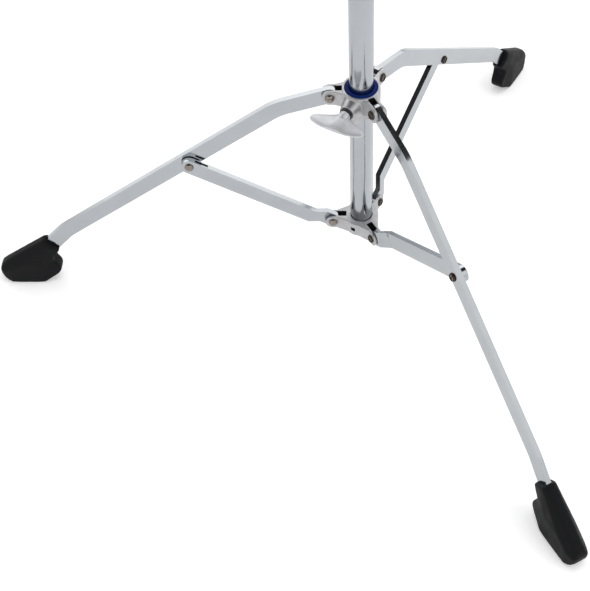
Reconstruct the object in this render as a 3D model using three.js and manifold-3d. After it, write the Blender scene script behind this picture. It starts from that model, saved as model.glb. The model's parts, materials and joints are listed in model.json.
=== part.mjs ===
// Straight cymbal stand: a single-braced folding tripod, two telescoping tubes,
// a tilter and a cymbal seat. Millimetres, +Z up.
import * as THREE from 'three';
import { mergeVertices } from 'three/addons/utils/BufferGeometryUtils.js';
import Module from 'manifold-3d';

const wasm = await Module();
wasm.setup();

// Driving sizes shared by several pieces
const clearance = 0.3;
const cut_overrun = 3;
const base_tube_od = 22.2;
const middle_tube_od = 19;
const top_tube_od = 15.9;
const tube_wall = 1.2;

// Tripod linkage: legs and braces are equal links, so both hinges lie at one radius
const leg_count = 3;
const first_leg_azimuth = 174.75;
const hinge_radius = 28.8;
const link_length = 162.4;
const spread_angle = 31.66;
const bar_width = 5.2;
const bar_height = 16.5;
const bar_wall = 1.3;
const rivet_shank_radius = 2.3;
const rivet_head_radius = 4.4;
const rivet_head_height = 2.9;

const spread = THREE.MathUtils.degToRad(spread_angle);
const collar_spacing = 2 * link_length * Math.sin(spread);
const hole_radius = rivet_shank_radius + clearance;
const base_tube_radius = base_tube_od / 2;

// Hinge centres in a leg's own plane, as radius and height above the lower hinges
const lower_hinge = [hinge_radius, 0];
const upper_hinge = [hinge_radius, collar_spacing];
const pivot = [hinge_radius + link_length * Math.cos(spread), link_length * Math.sin(spread)];

const fine_steps = 28;
const coarse_steps = 16;

// Materials
const finish = (color, roughness, metalness) =>
  new THREE.MeshStandardMaterial({ color, roughness, metalness });
const chrome_finish = () => finish(0xc9ccd0, 0.12, 1);
const cast_finish = () => finish(0xcfd1d3, 0.32, 1);
const wing_finish = () => finish(0xd4d5d6, 0.5, 0.85);
const rivet_finish = () => finish(0xb9aea2, 0.25, 1);
const nylon_finish = () => finish(0x0f1f6b, 0.35, 0);
const rubber_finish = () => finish(0x1b1c1e, 0.7, 0);
const washer_finish = () => finish(0x101113, 0.5, 0);
const felt_finish = () => finish(0x2a2a2c, 0.95, 0);

const stand = new THREE.Group();

// Solids
function solidOf(geometry) {
  const bare = geometry.clone();
  bare.deleteAttribute('normal');
  bare.deleteAttribute('uv');
  const merged = mergeVertices(bare);
  const index = merged.index.array;
  const corners = merged.attributes.position;
  const kept = [];
  let volume = 0;
  const a = new THREE.Vector3();
  const b = new THREE.Vector3();
  const c = new THREE.Vector3();
  for (let i = 0; i < index.length; i += 3) {
    const [p, q, r] = [index[i], index[i + 1], index[i + 2]];
    if (p === q || q === r || r === p) continue;
    kept.push(p, q, r);
    a.fromBufferAttribute(corners, p);
    b.fromBufferAttribute(corners, q);
    c.fromBufferAttribute(corners, r);
    volume += a.dot(b.cross(c));
  }
  if (volume < 0) kept.reverse();
  return new wasm.Manifold(new wasm.Mesh({
    numProp: 3,
    vertProperties: new Float32Array(corners.array),
    triVerts: new Uint32Array(kept),
  }));
}

function geometryOf(solid) {
  const mesh = solid.getMesh();
  const geometry = new THREE.BufferGeometry();
  geometry.setAttribute('position', new THREE.BufferAttribute(mesh.vertProperties, 3));
  geometry.setIndex(new THREE.BufferAttribute(mesh.triVerts, 1));
  geometry.computeVertexNormals();
  return geometry;
}

// Round solid about +Z from a closed [radius, height] profile
function turned(profile, steps = fine_steps) {
  const points = profile.map(([radius, height]) => new THREE.Vector2(radius, height));
  points.push(points[0].clone());
  return solidOf(new THREE.LatheGeometry(points, steps).rotateX(Math.PI / 2));
}

function rod(radius, low, high, steps = fine_steps) {
  return turned([[0, low], [radius, low], [radius, high], [0, high]], steps);
}

function ring(outer, inner, low, high, steps = fine_steps) {
  return turned([[inner, low], [outer, low], [outer, high], [inner, high]], steps);
}

function outline(points) {
  return new THREE.Shape(points.map(([x, y]) => new THREE.Vector2(x, y)));
}

// Flat outline in X and Y, from one height to another
function upright(shape, low, high) {
  const geometry = new THREE.ExtrudeGeometry(shape, { depth: high - low, bevelEnabled: false });
  return solidOf(geometry.translate(0, 0, low));
}

// Outline in X and Z, from one side to the other along Y
function sideways(shape, left, right) {
  const geometry = new THREE.ExtrudeGeometry(shape, { depth: right - left, bevelEnabled: false });
  return solidOf(geometry.rotateX(Math.PI / 2).translate(0, right, 0));
}

// Outline in Y and Z, from one X to another
function lengthways(shape, near, far) {
  const geometry = new THREE.ExtrudeGeometry(shape, { depth: far - near, bevelEnabled: false });
  return solidOf(geometry.rotateX(Math.PI / 2).rotateZ(Math.PI / 2).translate(near, 0, 0));
}

function box(x0, x1, y0, y1, z0, z1) {
  return upright(outline([[x0, y0], [x1, y0], [x1, y1], [x0, y1]]), z0, z1);
}

const alongY = (solid) => solid.rotate([-90, 0, 0]);
const alongX = (solid) => solid.rotate([0, 90, 0]);

// Points of an arc, ends included, angles in degrees
function arc(x, y, radius, from, to, steps) {
  const points = [];
  for (let i = 0; i <= steps; i += 1) {
    const turn = THREE.MathUtils.degToRad(from + (to - from) * i / steps);
    points.push([x + radius * Math.cos(turn), y + radius * Math.sin(turn)]);
  }
  return points;
}

function place(name, solid, material, parent = stand) {
  const mesh = new THREE.Mesh(geometryOf(solid), material);
  mesh.name = name;
  parent.add(mesh);
  return mesh;
}

// One group for each leg: X runs outwards, Y along the hinges
const legs = [];
for (let i = 0; i < leg_count; i += 1) {
  const leg = new THREE.Group();
  leg.rotation.z = THREE.MathUtils.degToRad(first_leg_azimuth + 360 * i / leg_count);
  stand.add(leg);
  legs.push(leg);
}
const turnFor = (i) => first_leg_azimuth + 360 * i / leg_count;
const bolt_azimuth = first_leg_azimuth + 180 / leg_count;

// Base tube with a plug in its lower end
const collar_half_height = 7.8;
const base_tube_length = 452;
const base_tube_bottom = -collar_half_height;
const base_tube_top = base_tube_bottom + base_tube_length;
const plug_depth = 9;
const plug_flange = 2.2;

function tube(outer_diameter, low, high) {
  const outer = outer_diameter / 2;
  return ring(outer, outer - tube_wall, low, high);
}

function tubePlug() {
  const inner = base_tube_radius - tube_wall - clearance;
  const seat = base_tube_bottom - clearance;
  return turned([
    [0, seat - plug_flange], [base_tube_radius, seat - plug_flange], [base_tube_radius, seat],
    [inner, seat], [inner, seat + plug_depth], [0, seat + plug_depth],
  ]);
}

place('base_tube', tube(base_tube_od, base_tube_bottom, base_tube_top), chrome_finish());
place('base_tube_plug', tubePlug(), rubber_finish());

// Ears: a rounded block round each hinge, split by a slot for the bar's end
const ear_radius = 7.8;
const ear_slot = bar_width + 2 * clearance;

function ears(half_width, slot_from, height) {
  const rounded = [
    [0, height - ear_radius],
    ...arc(hinge_radius, height, ear_radius, -90, 90, 10),
    [0, height + ear_radius],
  ];
  const block = sideways(outline(rounded), -half_width, half_width);
  const slot = box(slot_from, hinge_radius + ear_radius + cut_overrun,
    -ear_slot / 2, ear_slot / 2, height - ear_radius - cut_overrun, height + ear_radius + cut_overrun);
  const hole = alongY(rod(hole_radius, -half_width - cut_overrun, half_width + cut_overrun, coarse_steps))
    .translate([hinge_radius, 0, height]);
  return { block, slot, hole };
}

function withEars(body, half_width, slot_from, height) {
  let solid = body;
  for (let i = 0; i < leg_count; i += 1) {
    solid = solid.add(ears(half_width, slot_from, height).block.rotate([0, 0, turnFor(i)]));
  }
  for (let i = 0; i < leg_count; i += 1) {
    const { slot, hole } = ears(half_width, slot_from, height);
    solid = solid.subtract(slot.rotate([0, 0, turnFor(i)]));
    solid = solid.subtract(hole.rotate([0, 0, turnFor(i)]));
  }
  return solid;
}

// Lower collar, fixed on the end of the base tube, with a slot in each web
const web_radius = 19;
const lower_ear_half_width = 5.3;
const web_slot_width = 4;
const web_slot_height = 2.6;
const web_slot_depth = 4;
const slot_wall = 4.4;

function lowerCollar() {
  const web = rod(web_radius, -collar_half_height, collar_half_height);
  const bore = rod(base_tube_radius + clearance, -collar_half_height - cut_overrun,
    collar_half_height + cut_overrun);
  const slot_from = base_tube_radius + slot_wall;
  let solid = withEars(web, lower_ear_half_width, slot_from, 0);
  for (let i = 0; i < leg_count; i += 1) {
    const cut = box(web_radius - web_slot_depth, web_radius + cut_overrun,
      -web_slot_width / 2, web_slot_width / 2, -web_slot_height / 2, web_slot_height / 2);
    solid = solid.subtract(cut.rotate([0, 0, turnFor(i) + 180 / leg_count]));
  }
  return solid.subtract(bore);
}

place('lower_collar', lowerCollar(), cast_finish());

// Upper collar: a cast body that slides on the tube, with a bush and a clamp boss
const boss_radius = 16.6;
const rim_rise = 9;
const body_drop = 15.5;
const upper_ear_half_width = 5.8;
const bush_flange_radius = 15.2;
const bush_flange_height = 2.4;
const bush_wall = 1.6;
const bush_depth = 5;
const pad_half_width = 7.4;
const pad_reach = 26;
const bolt_drop = 2.7;
const bolt_shank_radius = 3;

const bolt_hole_radius = bolt_shank_radius + clearance;

// Boss for a clamp bolt: an arch round the bolt on straight sides, drilled through
function withBoltBoss(body, reach, low, bolt_height) {
  const arch = [
    [-pad_half_width, low], [pad_half_width, low],
    ...arc(0, bolt_height, pad_half_width, 0, 180, 10),
  ];
  const hole = alongX(rod(bolt_hole_radius, 0, reach + cut_overrun, coarse_steps))
    .translate([0, 0, bolt_height]);
  return body
    .add(lengthways(outline(arch), 0, reach).rotate([0, 0, bolt_azimuth]))
    .subtract(hole.rotate([0, 0, bolt_azimuth]));
}

function bushSeat(tube_radius, rim) {
  const flange = bush_flange_radius + clearance - (base_tube_radius - tube_radius);
  return ring(flange, 0, rim - bush_flange_height - clearance, rim + cut_overrun)
    .add(rod(tube_radius + clearance + bush_wall + clearance, rim - bush_depth - clearance, rim));
}

function nylonBush(tube_radius, rim) {
  const inner = tube_radius + clearance;
  const flange = bush_flange_radius - (base_tube_radius - tube_radius);
  const shoulder = rim - bush_flange_height;
  const lip = bush_wall / 2;
  return turned([
    [inner, rim - bush_depth], [inner + bush_wall, rim - bush_depth], [inner + bush_wall, shoulder],
    [flange, shoulder], [flange, rim], [flange - lip, rim + lip / 2], [inner + lip, rim + lip / 2],
    [inner, rim],
  ]);
}

const collar_rim = collar_spacing + rim_rise;
const collar_bolt_height = collar_spacing - bolt_drop;

function upperCollar() {
  const bottom = collar_spacing - body_drop;
  const body = withBoltBoss(rod(boss_radius, bottom, collar_rim), pad_reach, bottom, collar_bolt_height);
  return withEars(body, upper_ear_half_width, boss_radius + clearance, collar_spacing)
    .subtract(rod(base_tube_radius + clearance, bottom - cut_overrun, collar_rim + cut_overrun))
    .subtract(bushSeat(base_tube_radius, collar_rim));
}

place('upper_collar', upperCollar(), cast_finish());
place('collar_bush', nylonBush(base_tube_radius, collar_rim), nylon_finish());

// Wing bolt: drawn with its axis along +X, seated on a washer at X = 0
const washer_radius = 7;
const washer_thickness = 2.4;
const hub_radius = 6.2;
const hub_length = 7;
const wing_reach = 21.8;
const wing_half_span = 28.3;
const wing_thickness = 9;
const wing_tip_thickness = 3.4;
const collar_bolt_turn = 9.6;

// Half of the wings from the hub to the crown, as shares of their reach and half span
const wing_shares = [
  [0.1, 0.2], [0.32, 0.49], [0.54, 0.9], [0.62, 0.98], [0.72, 1], [0.82, 0.95], [0.94, 0.6], [1, 0.2],
];

function boltWasher() {
  return alongX(ring(washer_radius, bolt_hole_radius, clearance, washer_thickness, coarse_steps));
}

function wingBolt(shank_length) {
  const seat = washer_thickness + clearance;
  const half = wing_shares.map(([out, across]) => [seat + out * wing_reach, across * wing_half_span]);
  const mirrored = half.map(([x, y]) => [x, -y]).reverse();
  const blade = upright(outline([...half.reverse(), ...mirrored.reverse()]),
    -wing_thickness / 2, wing_thickness / 2);
  const wide = wing_half_span + cut_overrun;
  const lens = outline([
    [-wide, -wing_tip_thickness / 2], [-hub_radius, -wing_thickness / 2], [hub_radius, -wing_thickness / 2],
    [wide, -wing_tip_thickness / 2], [wide, wing_tip_thickness / 2], [hub_radius, wing_thickness / 2],
    [-hub_radius, wing_thickness / 2], [-wide, wing_tip_thickness / 2],
  ]);
  const wings = blade.intersect(lengthways(lens, 0, seat + wing_reach + cut_overrun));
  const hub = alongX(turned([
    [0, seat], [hub_radius, seat], [hub_radius, seat + hub_length], [0, seat + hub_length * 1.6],
  ], coarse_steps));
  const shank = alongX(rod(bolt_shank_radius, -shank_length, seat + hub_length, coarse_steps));
  return wings.add(hub).add(shank);
}

function placeBolt(name, washer_name, azimuth, reach, height, shank_length) {
  const station = new THREE.Group();
  station.rotation.z = THREE.MathUtils.degToRad(azimuth);
  station.position.z = height;
  stand.add(station);
  place(washer_name, boltWasher(), washer_finish(), station).position.x = reach;
  const bolt = place(name, wingBolt(shank_length), wing_finish(), station);
  bolt.position.x = reach;
  return bolt;
}

const collar_bolt = placeBolt('collar_wing_bolt', 'collar_bolt_washer', bolt_azimuth, pad_reach,
  collar_bolt_height, pad_reach - base_tube_radius - 2 * clearance);
collar_bolt.rotation.x = THREE.MathUtils.degToRad(collar_bolt_turn);

// Bars: a bent channel, closed on top, round at its hinge
const leg_bend_radius = 60;
const leg_in_boot = 40;
const channel_start = 14;
const bend_steps = 5;

// Corners of a leg: distance along the line from its hinge to its pivot, and rise above that line.
// The boot's mouth is measured on from the ankle.
const knee_along = 50.4;
const knee_rise = 12.6;
const ankle_along = 336.2;
const ankle_fall = 11.6;
const mouth_beyond_ankle = 26.7;
const mouth_below_ankle = 7.7;

function fromLink(along, rise) {
  return [
    upper_hinge[0] + along * Math.cos(spread) + rise * Math.sin(spread),
    upper_hinge[1] - along * Math.sin(spread) + rise * Math.cos(spread),
  ];
}

// Centre line through the corners, each bend eased by an arc of one radius
function centreLine(corners, bend_radius) {
  const line = [{ x: corners[0][0], z: corners[0][1], angle: angleOf(corners[0], corners[1]) }];
  for (let i = 1; i < corners.length - 1; i += 1) {
    const before = angleOf(corners[i - 1], corners[i]);
    const after = angleOf(corners[i], corners[i + 1]);
    const turn = after - before;
    const setback = bend_radius * Math.abs(Math.tan(turn / 2));
    const side = Math.sign(turn);
    const start_x = corners[i][0] - setback * Math.cos(before);
    const start_z = corners[i][1] - setback * Math.sin(before);
    const centre_x = start_x - side * bend_radius * Math.sin(before);
    const centre_z = start_z + side * bend_radius * Math.cos(before);
    for (let k = 0; k <= bend_steps; k += 1) {
      const angle = before + turn * k / bend_steps;
      line.push({
        x: centre_x + side * bend_radius * Math.sin(angle),
        z: centre_z - side * bend_radius * Math.cos(angle),
        angle,
      });
    }
  }
  const last = corners.length - 1;
  line.push({ x: corners[last][0], z: corners[last][1], angle: angleOf(corners[last - 1], corners[last]) });
  return line;
}

function angleOf(from, to) {
  return Math.atan2(to[1] - from[1], to[0] - from[0]);
}

function offsetPoint(station, offset) {
  return [station.x - offset * Math.sin(station.angle), station.z + offset * Math.cos(station.angle)];
}

// Bar along a centre line, hinge end rounded about the first station
function channelBar(line, width, holes) {
  const half = bar_height / 2;
  const first = THREE.MathUtils.radToDeg(line[0].angle);
  const side = [
    ...line.map((station) => offsetPoint(station, -half)),
    ...line.slice(1).reverse().map((station) => offsetPoint(station, half)),
    ...arc(line[0].x, line[0].z, half, first + 90, first + 270, 10),
  ];
  let bar = sideways(outline(side), -width / 2, width / 2);
  const from = {
    x: line[0].x + channel_start * Math.cos(line[0].angle),
    z: line[0].z + channel_start * Math.sin(line[0].angle),
    angle: line[0].angle,
  };
  const last = line[line.length - 1];
  const beyond = {
    x: last.x + cut_overrun * Math.cos(last.angle),
    z: last.z + cut_overrun * Math.sin(last.angle),
    angle: last.angle,
  };
  const hollow = [from, ...line.slice(1, -1), beyond];
  const trough = [
    ...hollow.map((station) => offsetPoint(station, -half - cut_overrun)),
    ...hollow.slice().reverse().map((station) => offsetPoint(station, half - bar_wall)),
  ];
  const trough_half = width / 2 - bar_wall;
  bar = bar.subtract(sideways(outline(trough), -trough_half, trough_half));
  for (const [x, z] of holes) {
    const hole = alongY(rod(hole_radius, -width, width, coarse_steps));
    bar = bar.subtract(hole.translate([x, 0, z]));
  }
  return bar;
}

const knee = fromLink(knee_along, knee_rise);
const ankle = fromLink(ankle_along, -ankle_fall);
const boot_mouth = fromLink(ankle_along + mouth_beyond_ankle, -ankle_fall - mouth_below_ankle);
const boot_angle = angleOf(ankle, boot_mouth);
const leg_end = [
  boot_mouth[0] + leg_in_boot * Math.cos(boot_angle),
  boot_mouth[1] + leg_in_boot * Math.sin(boot_angle),
];

function legBar() {
  const corners = [upper_hinge, knee, ankle, leg_end];
  return channelBar(centreLine(corners, leg_bend_radius), bar_width, [upper_hinge, pivot]);
}

// Brace: its hinge end lies between the ears, the rest runs beside the leg
const brace_offset = 6.3;
const brace_tail = 9;
const jog_start = 11;
const jog_end = 24;
const brace_window_length = 14;
const brace_window_start = 2;

function braceBar() {
  const length = link_length + brace_tail;
  const half = bar_height / 2;
  const plan = [
    [-half, -bar_width / 2], [jog_start, -bar_width / 2], [jog_end, brace_offset - bar_width / 2],
    [length, brace_offset - bar_width / 2], [length, brace_offset + bar_width / 2],
    [jog_end - bar_width / 4, brace_offset + bar_width / 2],
    [jog_start - bar_width / 4, bar_width / 2], [-half, bar_width / 2],
  ];
  const side = [
    ...arc(0, 0, half, 90, 270, 10),
    ...arc(link_length, 0, half, -90, 90, 8),
  ];
  const plate = upright(outline(plan), -half - cut_overrun, half + cut_overrun);
  let bar = plate.intersect(sideways(outline(side), -bar_width, brace_offset + bar_width));
  const trough_half = bar_width / 2 - bar_wall;
  bar = bar.subtract(box(jog_end + bar_wall, length + cut_overrun,
    brace_offset - trough_half, brace_offset + trough_half, -half - cut_overrun, half - bar_wall));
  bar = bar.subtract(box(link_length - brace_window_start - brace_window_length,
    link_length + brace_tail + cut_overrun, brace_offset - trough_half, brace_offset + trough_half,
    0, half + cut_overrun));
  const near_hole = alongY(rod(hole_radius, -bar_width, bar_width, coarse_steps));
  const far_hole = alongY(rod(hole_radius, -bar_width, brace_offset + bar_width, coarse_steps));
  bar = bar.subtract(near_hole).subtract(far_hole.translate([link_length, 0, 0]));
  return bar.rotate([0, -spread_angle, 0]).translate([lower_hinge[0], 0, lower_hinge[1]]);
}

// Rivet between two Y faces, a dome on each end
function rivet(left, right, [x, z]) {
  const low = left - clearance;
  const high = right + clearance;
  const dome = (y, sign) => arc(0, 0, 1, 0, 90, 3).map(([across, up]) =>
    [rivet_head_radius * across, y + sign * rivet_head_height * up]);
  const profile = [
    ...dome(low, -1).reverse(),
    [rivet_shank_radius, low], [rivet_shank_radius, high],
    ...dome(high, 1),
  ];
  return turned(profile, coarse_steps).rotate([-90, 0, 0]).translate([x, 0, z]);
}

// Rubber boot on the end of each leg, waisted behind its heel, with grooves across its sole
const boot_length = 72;
const boot_height = 63;
const boot_width = 22;
const boot_mouth_rise = 55.6;
const boot_heel_overlap = 8;
const sole_groove_count = 4;
const sole_groove_width = 1.6;
const sole_groove_depth = 1.6;

// Side of the boot from its lip along its straight back to the toe, under the sole and up the heel,
// as shares of length and height
const boot_back_from = [0.257, 0.985];
const boot_back_to = [0.889, 0.476];
const boot_side_shares = [
  [0.22, 1], boot_back_from, boot_back_to, [0.98, 0.38], [1, 0.3], [0.965, 0.222], [0.88, 0.11],
  [0.82, 0.05], [0.736, 0], [0.389, 0], [0.264, 0.08], [0.125, 0.183], [0.07, 0.278], [0.07, 0.357],
  [0.104, 0.437], [0.146, 0.5], [0.16, 0.556], [0.125, 0.627], [0.0625, 0.703], [0.02, 0.786],
];

// Half widths seen from above, from the front and along the crowned back, as shares of half the
// width. The other share is of the length, the height, and the height above the line of the back.
const boot_plan_shares = [
  [-0.1, 0.55], [0.05, 0.62], [0.2, 0.78], [0.36, 1], [0.86, 1], [0.95, 0.8], [1, 0.45],
];
const boot_front_shares = [[0, 0.93], [0.08, 1], [0.48, 1], [1, 0.64]];
const boot_crown_shares = [[-1.5, 1], [-0.14, 1], [0, 0.32]];
const sole_shares = [0.416, 0.6736];

const boot_start = boot_mouth[0] - boot_heel_overlap;
const floor_height = boot_mouth[1] - boot_mouth_rise;

function mirroredOutline(shares, point) {
  const right = shares.map(([along, half]) => point(along, half));
  const left = shares.map(([along, half]) => point(along, -half)).reverse();
  return outline([...right, ...left]);
}

function legPocket() {
  const half_height = bar_height / 2 + clearance;
  const half_width = bar_width / 2 + clearance;
  const shape = outline([
    [-leg_in_boot, -half_height], [leg_in_boot + clearance, -half_height],
    [leg_in_boot + clearance, half_height], [-leg_in_boot, half_height],
  ]);
  return sideways(shape, -half_width, half_width)
    .rotate([0, -THREE.MathUtils.radToDeg(boot_angle), 0])
    .translate([boot_mouth[0], 0, boot_mouth[1]]);
}

function onBootSide([along, up]) {
  return [boot_start + along * boot_length, floor_height + up * boot_height];
}

// Everything under the crowned back
function bootCrown() {
  const from = onBootSide(boot_back_from);
  const slope = angleOf(from, onBootSide(boot_back_to));
  const crown = mirroredOutline(boot_crown_shares, (up, half) =>
    [half * boot_width / 2, up * boot_height]);
  return lengthways(crown, -boot_length, 2 * boot_length)
    .rotate([0, -THREE.MathUtils.radToDeg(slope), 0])
    .translate([from[0], 0, from[1]]);
}

function rubberBoot() {
  const side = outline(boot_side_shares.map(onBootSide));
  const plan = mirroredOutline(boot_plan_shares, (along, half) =>
    [boot_start + along * boot_length, half * boot_width / 2]);
  const front = mirroredOutline(boot_front_shares, (up, half) =>
    [half * boot_width / 2, floor_height + up * boot_height]);
  let boot = sideways(side, -boot_width, boot_width)
    .intersect(upright(plan, floor_height - cut_overrun, floor_height + boot_height + cut_overrun))
    .intersect(lengthways(front, boot_start - boot_length, boot_start + 2 * boot_length))
    .intersect(bootCrown())
    .subtract(legPocket());
  const sole_start = boot_start + sole_shares[0] * boot_length;
  const sole_length = (sole_shares[1] - sole_shares[0]) * boot_length;
  const pitch = sole_length / (sole_groove_count - 1);
  for (let k = 0; k < sole_groove_count; k += 1) {
    const x = sole_start + pitch * k - sole_groove_width / 2;
    boot = boot.subtract(box(x, x + sole_groove_width, -boot_width, boot_width,
      floor_height - cut_overrun, floor_height + sole_groove_depth));
  }
  return boot;
}

const spacer_radius = 6.2;

function pivotSpacer() {
  const low = bar_width / 2 + clearance;
  const high = brace_offset - bar_width / 2 - clearance;
  return turned([
    [hole_radius, low], [spacer_radius, low], [spacer_radius, high], [hole_radius, high],
  ], coarse_steps).rotate([-90, 0, 0]).translate([pivot[0], 0, pivot[1]]);
}

legs.forEach((leg, i) => {
  const n = i + 1;
  place(`leg_${n}`, legBar(), chrome_finish(), leg);
  place(`brace_${n}`, braceBar(), chrome_finish(), leg);
  place(`foot_${n}`, rubberBoot(), rubber_finish(), leg);
  place(`upper_rivet_${n}`, rivet(-upper_ear_half_width, upper_ear_half_width, upper_hinge),
    rivet_finish(), leg);
  place(`lower_rivet_${n}`, rivet(-lower_ear_half_width, lower_ear_half_width, lower_hinge),
    rivet_finish(), leg);
  place(`pivot_rivet_${n}`, rivet(-bar_width / 2, brace_offset + bar_width / 2, pivot),
    rivet_finish(), leg);
  place(`pivot_spacer_${n}`, pivotSpacer(), washer_finish(), leg);
});

// Tube clamps: a cast sleeve on the end of one tube that grips the next tube
const clamp_wall = 3.6;
const clamp_height = 44;
const clamp_rim_rise = 20;
const clamp_bolt_drop = 13;
const clamp_pad_reach = 9;

function tubeClamp(outer_tube_od, inner_radius, tube_top, reach) {
  const sleeve = outer_tube_od / 2 + clamp_wall;
  const rim = tube_top + clamp_rim_rise;
  const bottom = rim - clamp_height;
  const body = turned([
    [0, bottom], [sleeve - clamp_wall / 3, bottom], [sleeve, bottom + clamp_wall], [sleeve, rim], [0, rim],
  ]);
  return withBoltBoss(body, reach, rim - clamp_height / 2, rim - clamp_bolt_drop)
    .subtract(rod(outer_tube_od / 2 + clearance, bottom - cut_overrun, tube_top + clearance))
    .subtract(rod(inner_radius + clearance, bottom, rim + cut_overrun))
    .subtract(bushSeat(inner_radius, rim));
}

function placeClamp(prefix, outer_tube_od, inner_tube_od, tube_top) {
  const inner_radius = inner_tube_od / 2;
  const reach = outer_tube_od / 2 + clamp_wall + clamp_pad_reach;
  const rim = tube_top + clamp_rim_rise;
  place(`${prefix}_clamp`, tubeClamp(outer_tube_od, inner_radius, tube_top, reach), cast_finish());
  place(`${prefix}_bush`, nylonBush(inner_radius, rim), nylon_finish());
  placeBolt(`${prefix}_wing_bolt`, `${prefix}_bolt_washer`, bolt_azimuth, reach, rim - clamp_bolt_drop,
    reach - inner_radius - 2 * clearance);
}

placeClamp('base', base_tube_od, middle_tube_od, base_tube_top);

// Middle tube and top tube, each drawn out of the one below
const middle_tube_length = 410;
const middle_tube_shown = 240;
const top_tube_length = 380;
const top_tube_shown = 150;
const middle_tube_top = base_tube_top + middle_tube_shown;
const top_tube_top = middle_tube_top + top_tube_shown;

place('middle_tube', tube(middle_tube_od, middle_tube_top - middle_tube_length, middle_tube_top),
  chrome_finish());
placeClamp('middle', middle_tube_od, top_tube_od, middle_tube_top);
place('top_tube', tube(top_tube_od, top_tube_top - top_tube_length, top_tube_top), chrome_finish());

// Tilter: a fork on the top tube, and a tongue that carries the cymbal rod
const fork_sleeve_height = 18;
const fork_half_width = 11;
const fork_gap_half = 5;
const fork_cheek_radius = 10.5;
const tilt_rise = 20;
const tongue_radius = 9.5;
const rod_radius = 4;
const rod_collar_radius = 6.5;
const rod_collar_length = 4;
const rod_length = 84;
const tilt_height = top_tube_top + tilt_rise;

function tilterFork() {
  const sleeve = top_tube_od / 2 + clamp_wall - clearance;
  const bottom = top_tube_top - fork_sleeve_height;
  const floor_height = tilt_height - fork_cheek_radius - clearance;
  const cheek = outline([
    [-fork_cheek_radius, top_tube_top], [fork_cheek_radius, top_tube_top],
    ...arc(0, tilt_height, fork_cheek_radius, 0, 180, 12),
  ]);
  const wide = fork_half_width + cut_overrun;
  let solid = rod(sleeve, bottom, top_tube_top + clamp_wall)
    .add(sideways(cheek, -fork_half_width, fork_half_width));
  solid = solid.subtract(box(-wide, wide, -fork_gap_half, fork_gap_half,
    floor_height, tilt_height + wide));
  solid = solid.subtract(rod(top_tube_od / 2 + clearance, bottom - cut_overrun, top_tube_top + clearance));
  const hole = alongY(rod(bolt_hole_radius, -wide, wide, coarse_steps));
  return solid.subtract(hole.translate([0, 0, tilt_height]));
}

function tilterTongue() {
  const half = fork_gap_half - clearance;
  const disc = alongY(rod(tongue_radius, -half, half, fine_steps));
  const stem = rod(rod_radius, 0, rod_length, coarse_steps);
  const collar_low = fork_cheek_radius + clearance;
  const collar = rod(rod_collar_radius, collar_low, collar_low + rod_collar_length, coarse_steps);
  const neck = box(-rod_collar_radius, rod_collar_radius, -half, half, 0, collar_low + rod_collar_length);
  const hole = alongY(rod(bolt_hole_radius, -fork_half_width, fork_half_width, coarse_steps));
  return disc.add(stem).add(neck).add(collar).subtract(hole).translate([0, 0, tilt_height]);
}

place('tilter_fork', tilterFork(), cast_finish());
place('tilter_rod', tilterTongue(), chrome_finish());

// Tilter wing bolt, through the fork, with a nut on its far end
const nut_height = 5;
const nut_across_corners = 11.5;

function tilterNut() {
  const outer = rod(nut_across_corners / 2, 0, nut_height, 6);
  return alongY(outer.subtract(rod(bolt_hole_radius, -nut_height, 2 * nut_height, coarse_steps)));
}

const tilt_station = new THREE.Group();
tilt_station.position.z = tilt_height;
tilt_station.rotation.z = -Math.PI / 2;
stand.add(tilt_station);
place('tilter_bolt_washer', boltWasher(), washer_finish(), tilt_station).position.x = fork_half_width;
const tilt_bolt = place('tilter_wing_bolt', wingBolt(2 * fork_half_width + nut_height), wing_finish(),
  tilt_station);
tilt_bolt.position.x = fork_half_width;
const tilt_nut = place('tilter_nut', tilterNut(), chrome_finish());
tilt_nut.position.set(0, fork_half_width + clearance, tilt_height);

// Cymbal seat: steel cup, nylon sleeve, two felts and a wing nut
const seat_low = 22;
const cup_radius = 19;
const cup_thickness = 2.4;
const cup_rise = 2;
const sleeve_wall = 1.9;
const sleeve_flange_radius = 10;
const sleeve_flange_height = 2;
const sleeve_length = 30;
const lower_felt_height = 11;
const upper_felt_height = 9;
const felt_radius = 18.5;
const felt_crown = 1.6;
const wing_nut_height = 11;
const wing_nut_radius = 7;
const wing_nut_half_span = 19;
const wing_nut_blade = 4.4;
const wing_nut_rise = 10;
const wing_nut_tip_radius = 3;

const seat_height = tilt_height + seat_low;
const sleeve_bore = rod_radius + clearance;
const sleeve_radius = sleeve_bore + sleeve_wall;
const sleeve_base = seat_height + cup_thickness + clearance;
const felt_base = sleeve_base + sleeve_flange_height + clearance;

function seatCup() {
  return turned([
    [sleeve_bore, seat_height], [cup_radius - cup_rise, seat_height],
    [cup_radius, seat_height + cup_rise], [cup_radius, seat_height + cup_rise + cup_thickness],
    [cup_radius - cup_thickness, seat_height + cup_thickness], [sleeve_bore, seat_height + cup_thickness],
  ]);
}

function seatSleeve() {
  return turned([
    [sleeve_bore, sleeve_base], [sleeve_flange_radius, sleeve_base],
    [sleeve_flange_radius, sleeve_base + sleeve_flange_height],
    [sleeve_radius, sleeve_base + sleeve_flange_height],
    [sleeve_radius, sleeve_base + sleeve_length], [sleeve_bore, sleeve_base + sleeve_length],
  ], coarse_steps);
}

function felt(low, height) {
  const inner = sleeve_radius + clearance;
  const crown = felt_crown;
  return turned([
    [inner, low], [felt_radius - crown, low], [felt_radius, low + crown],
    [felt_radius, low + height - crown], [felt_radius - crown, low + height], [inner, low + height],
  ]);
}

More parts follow.
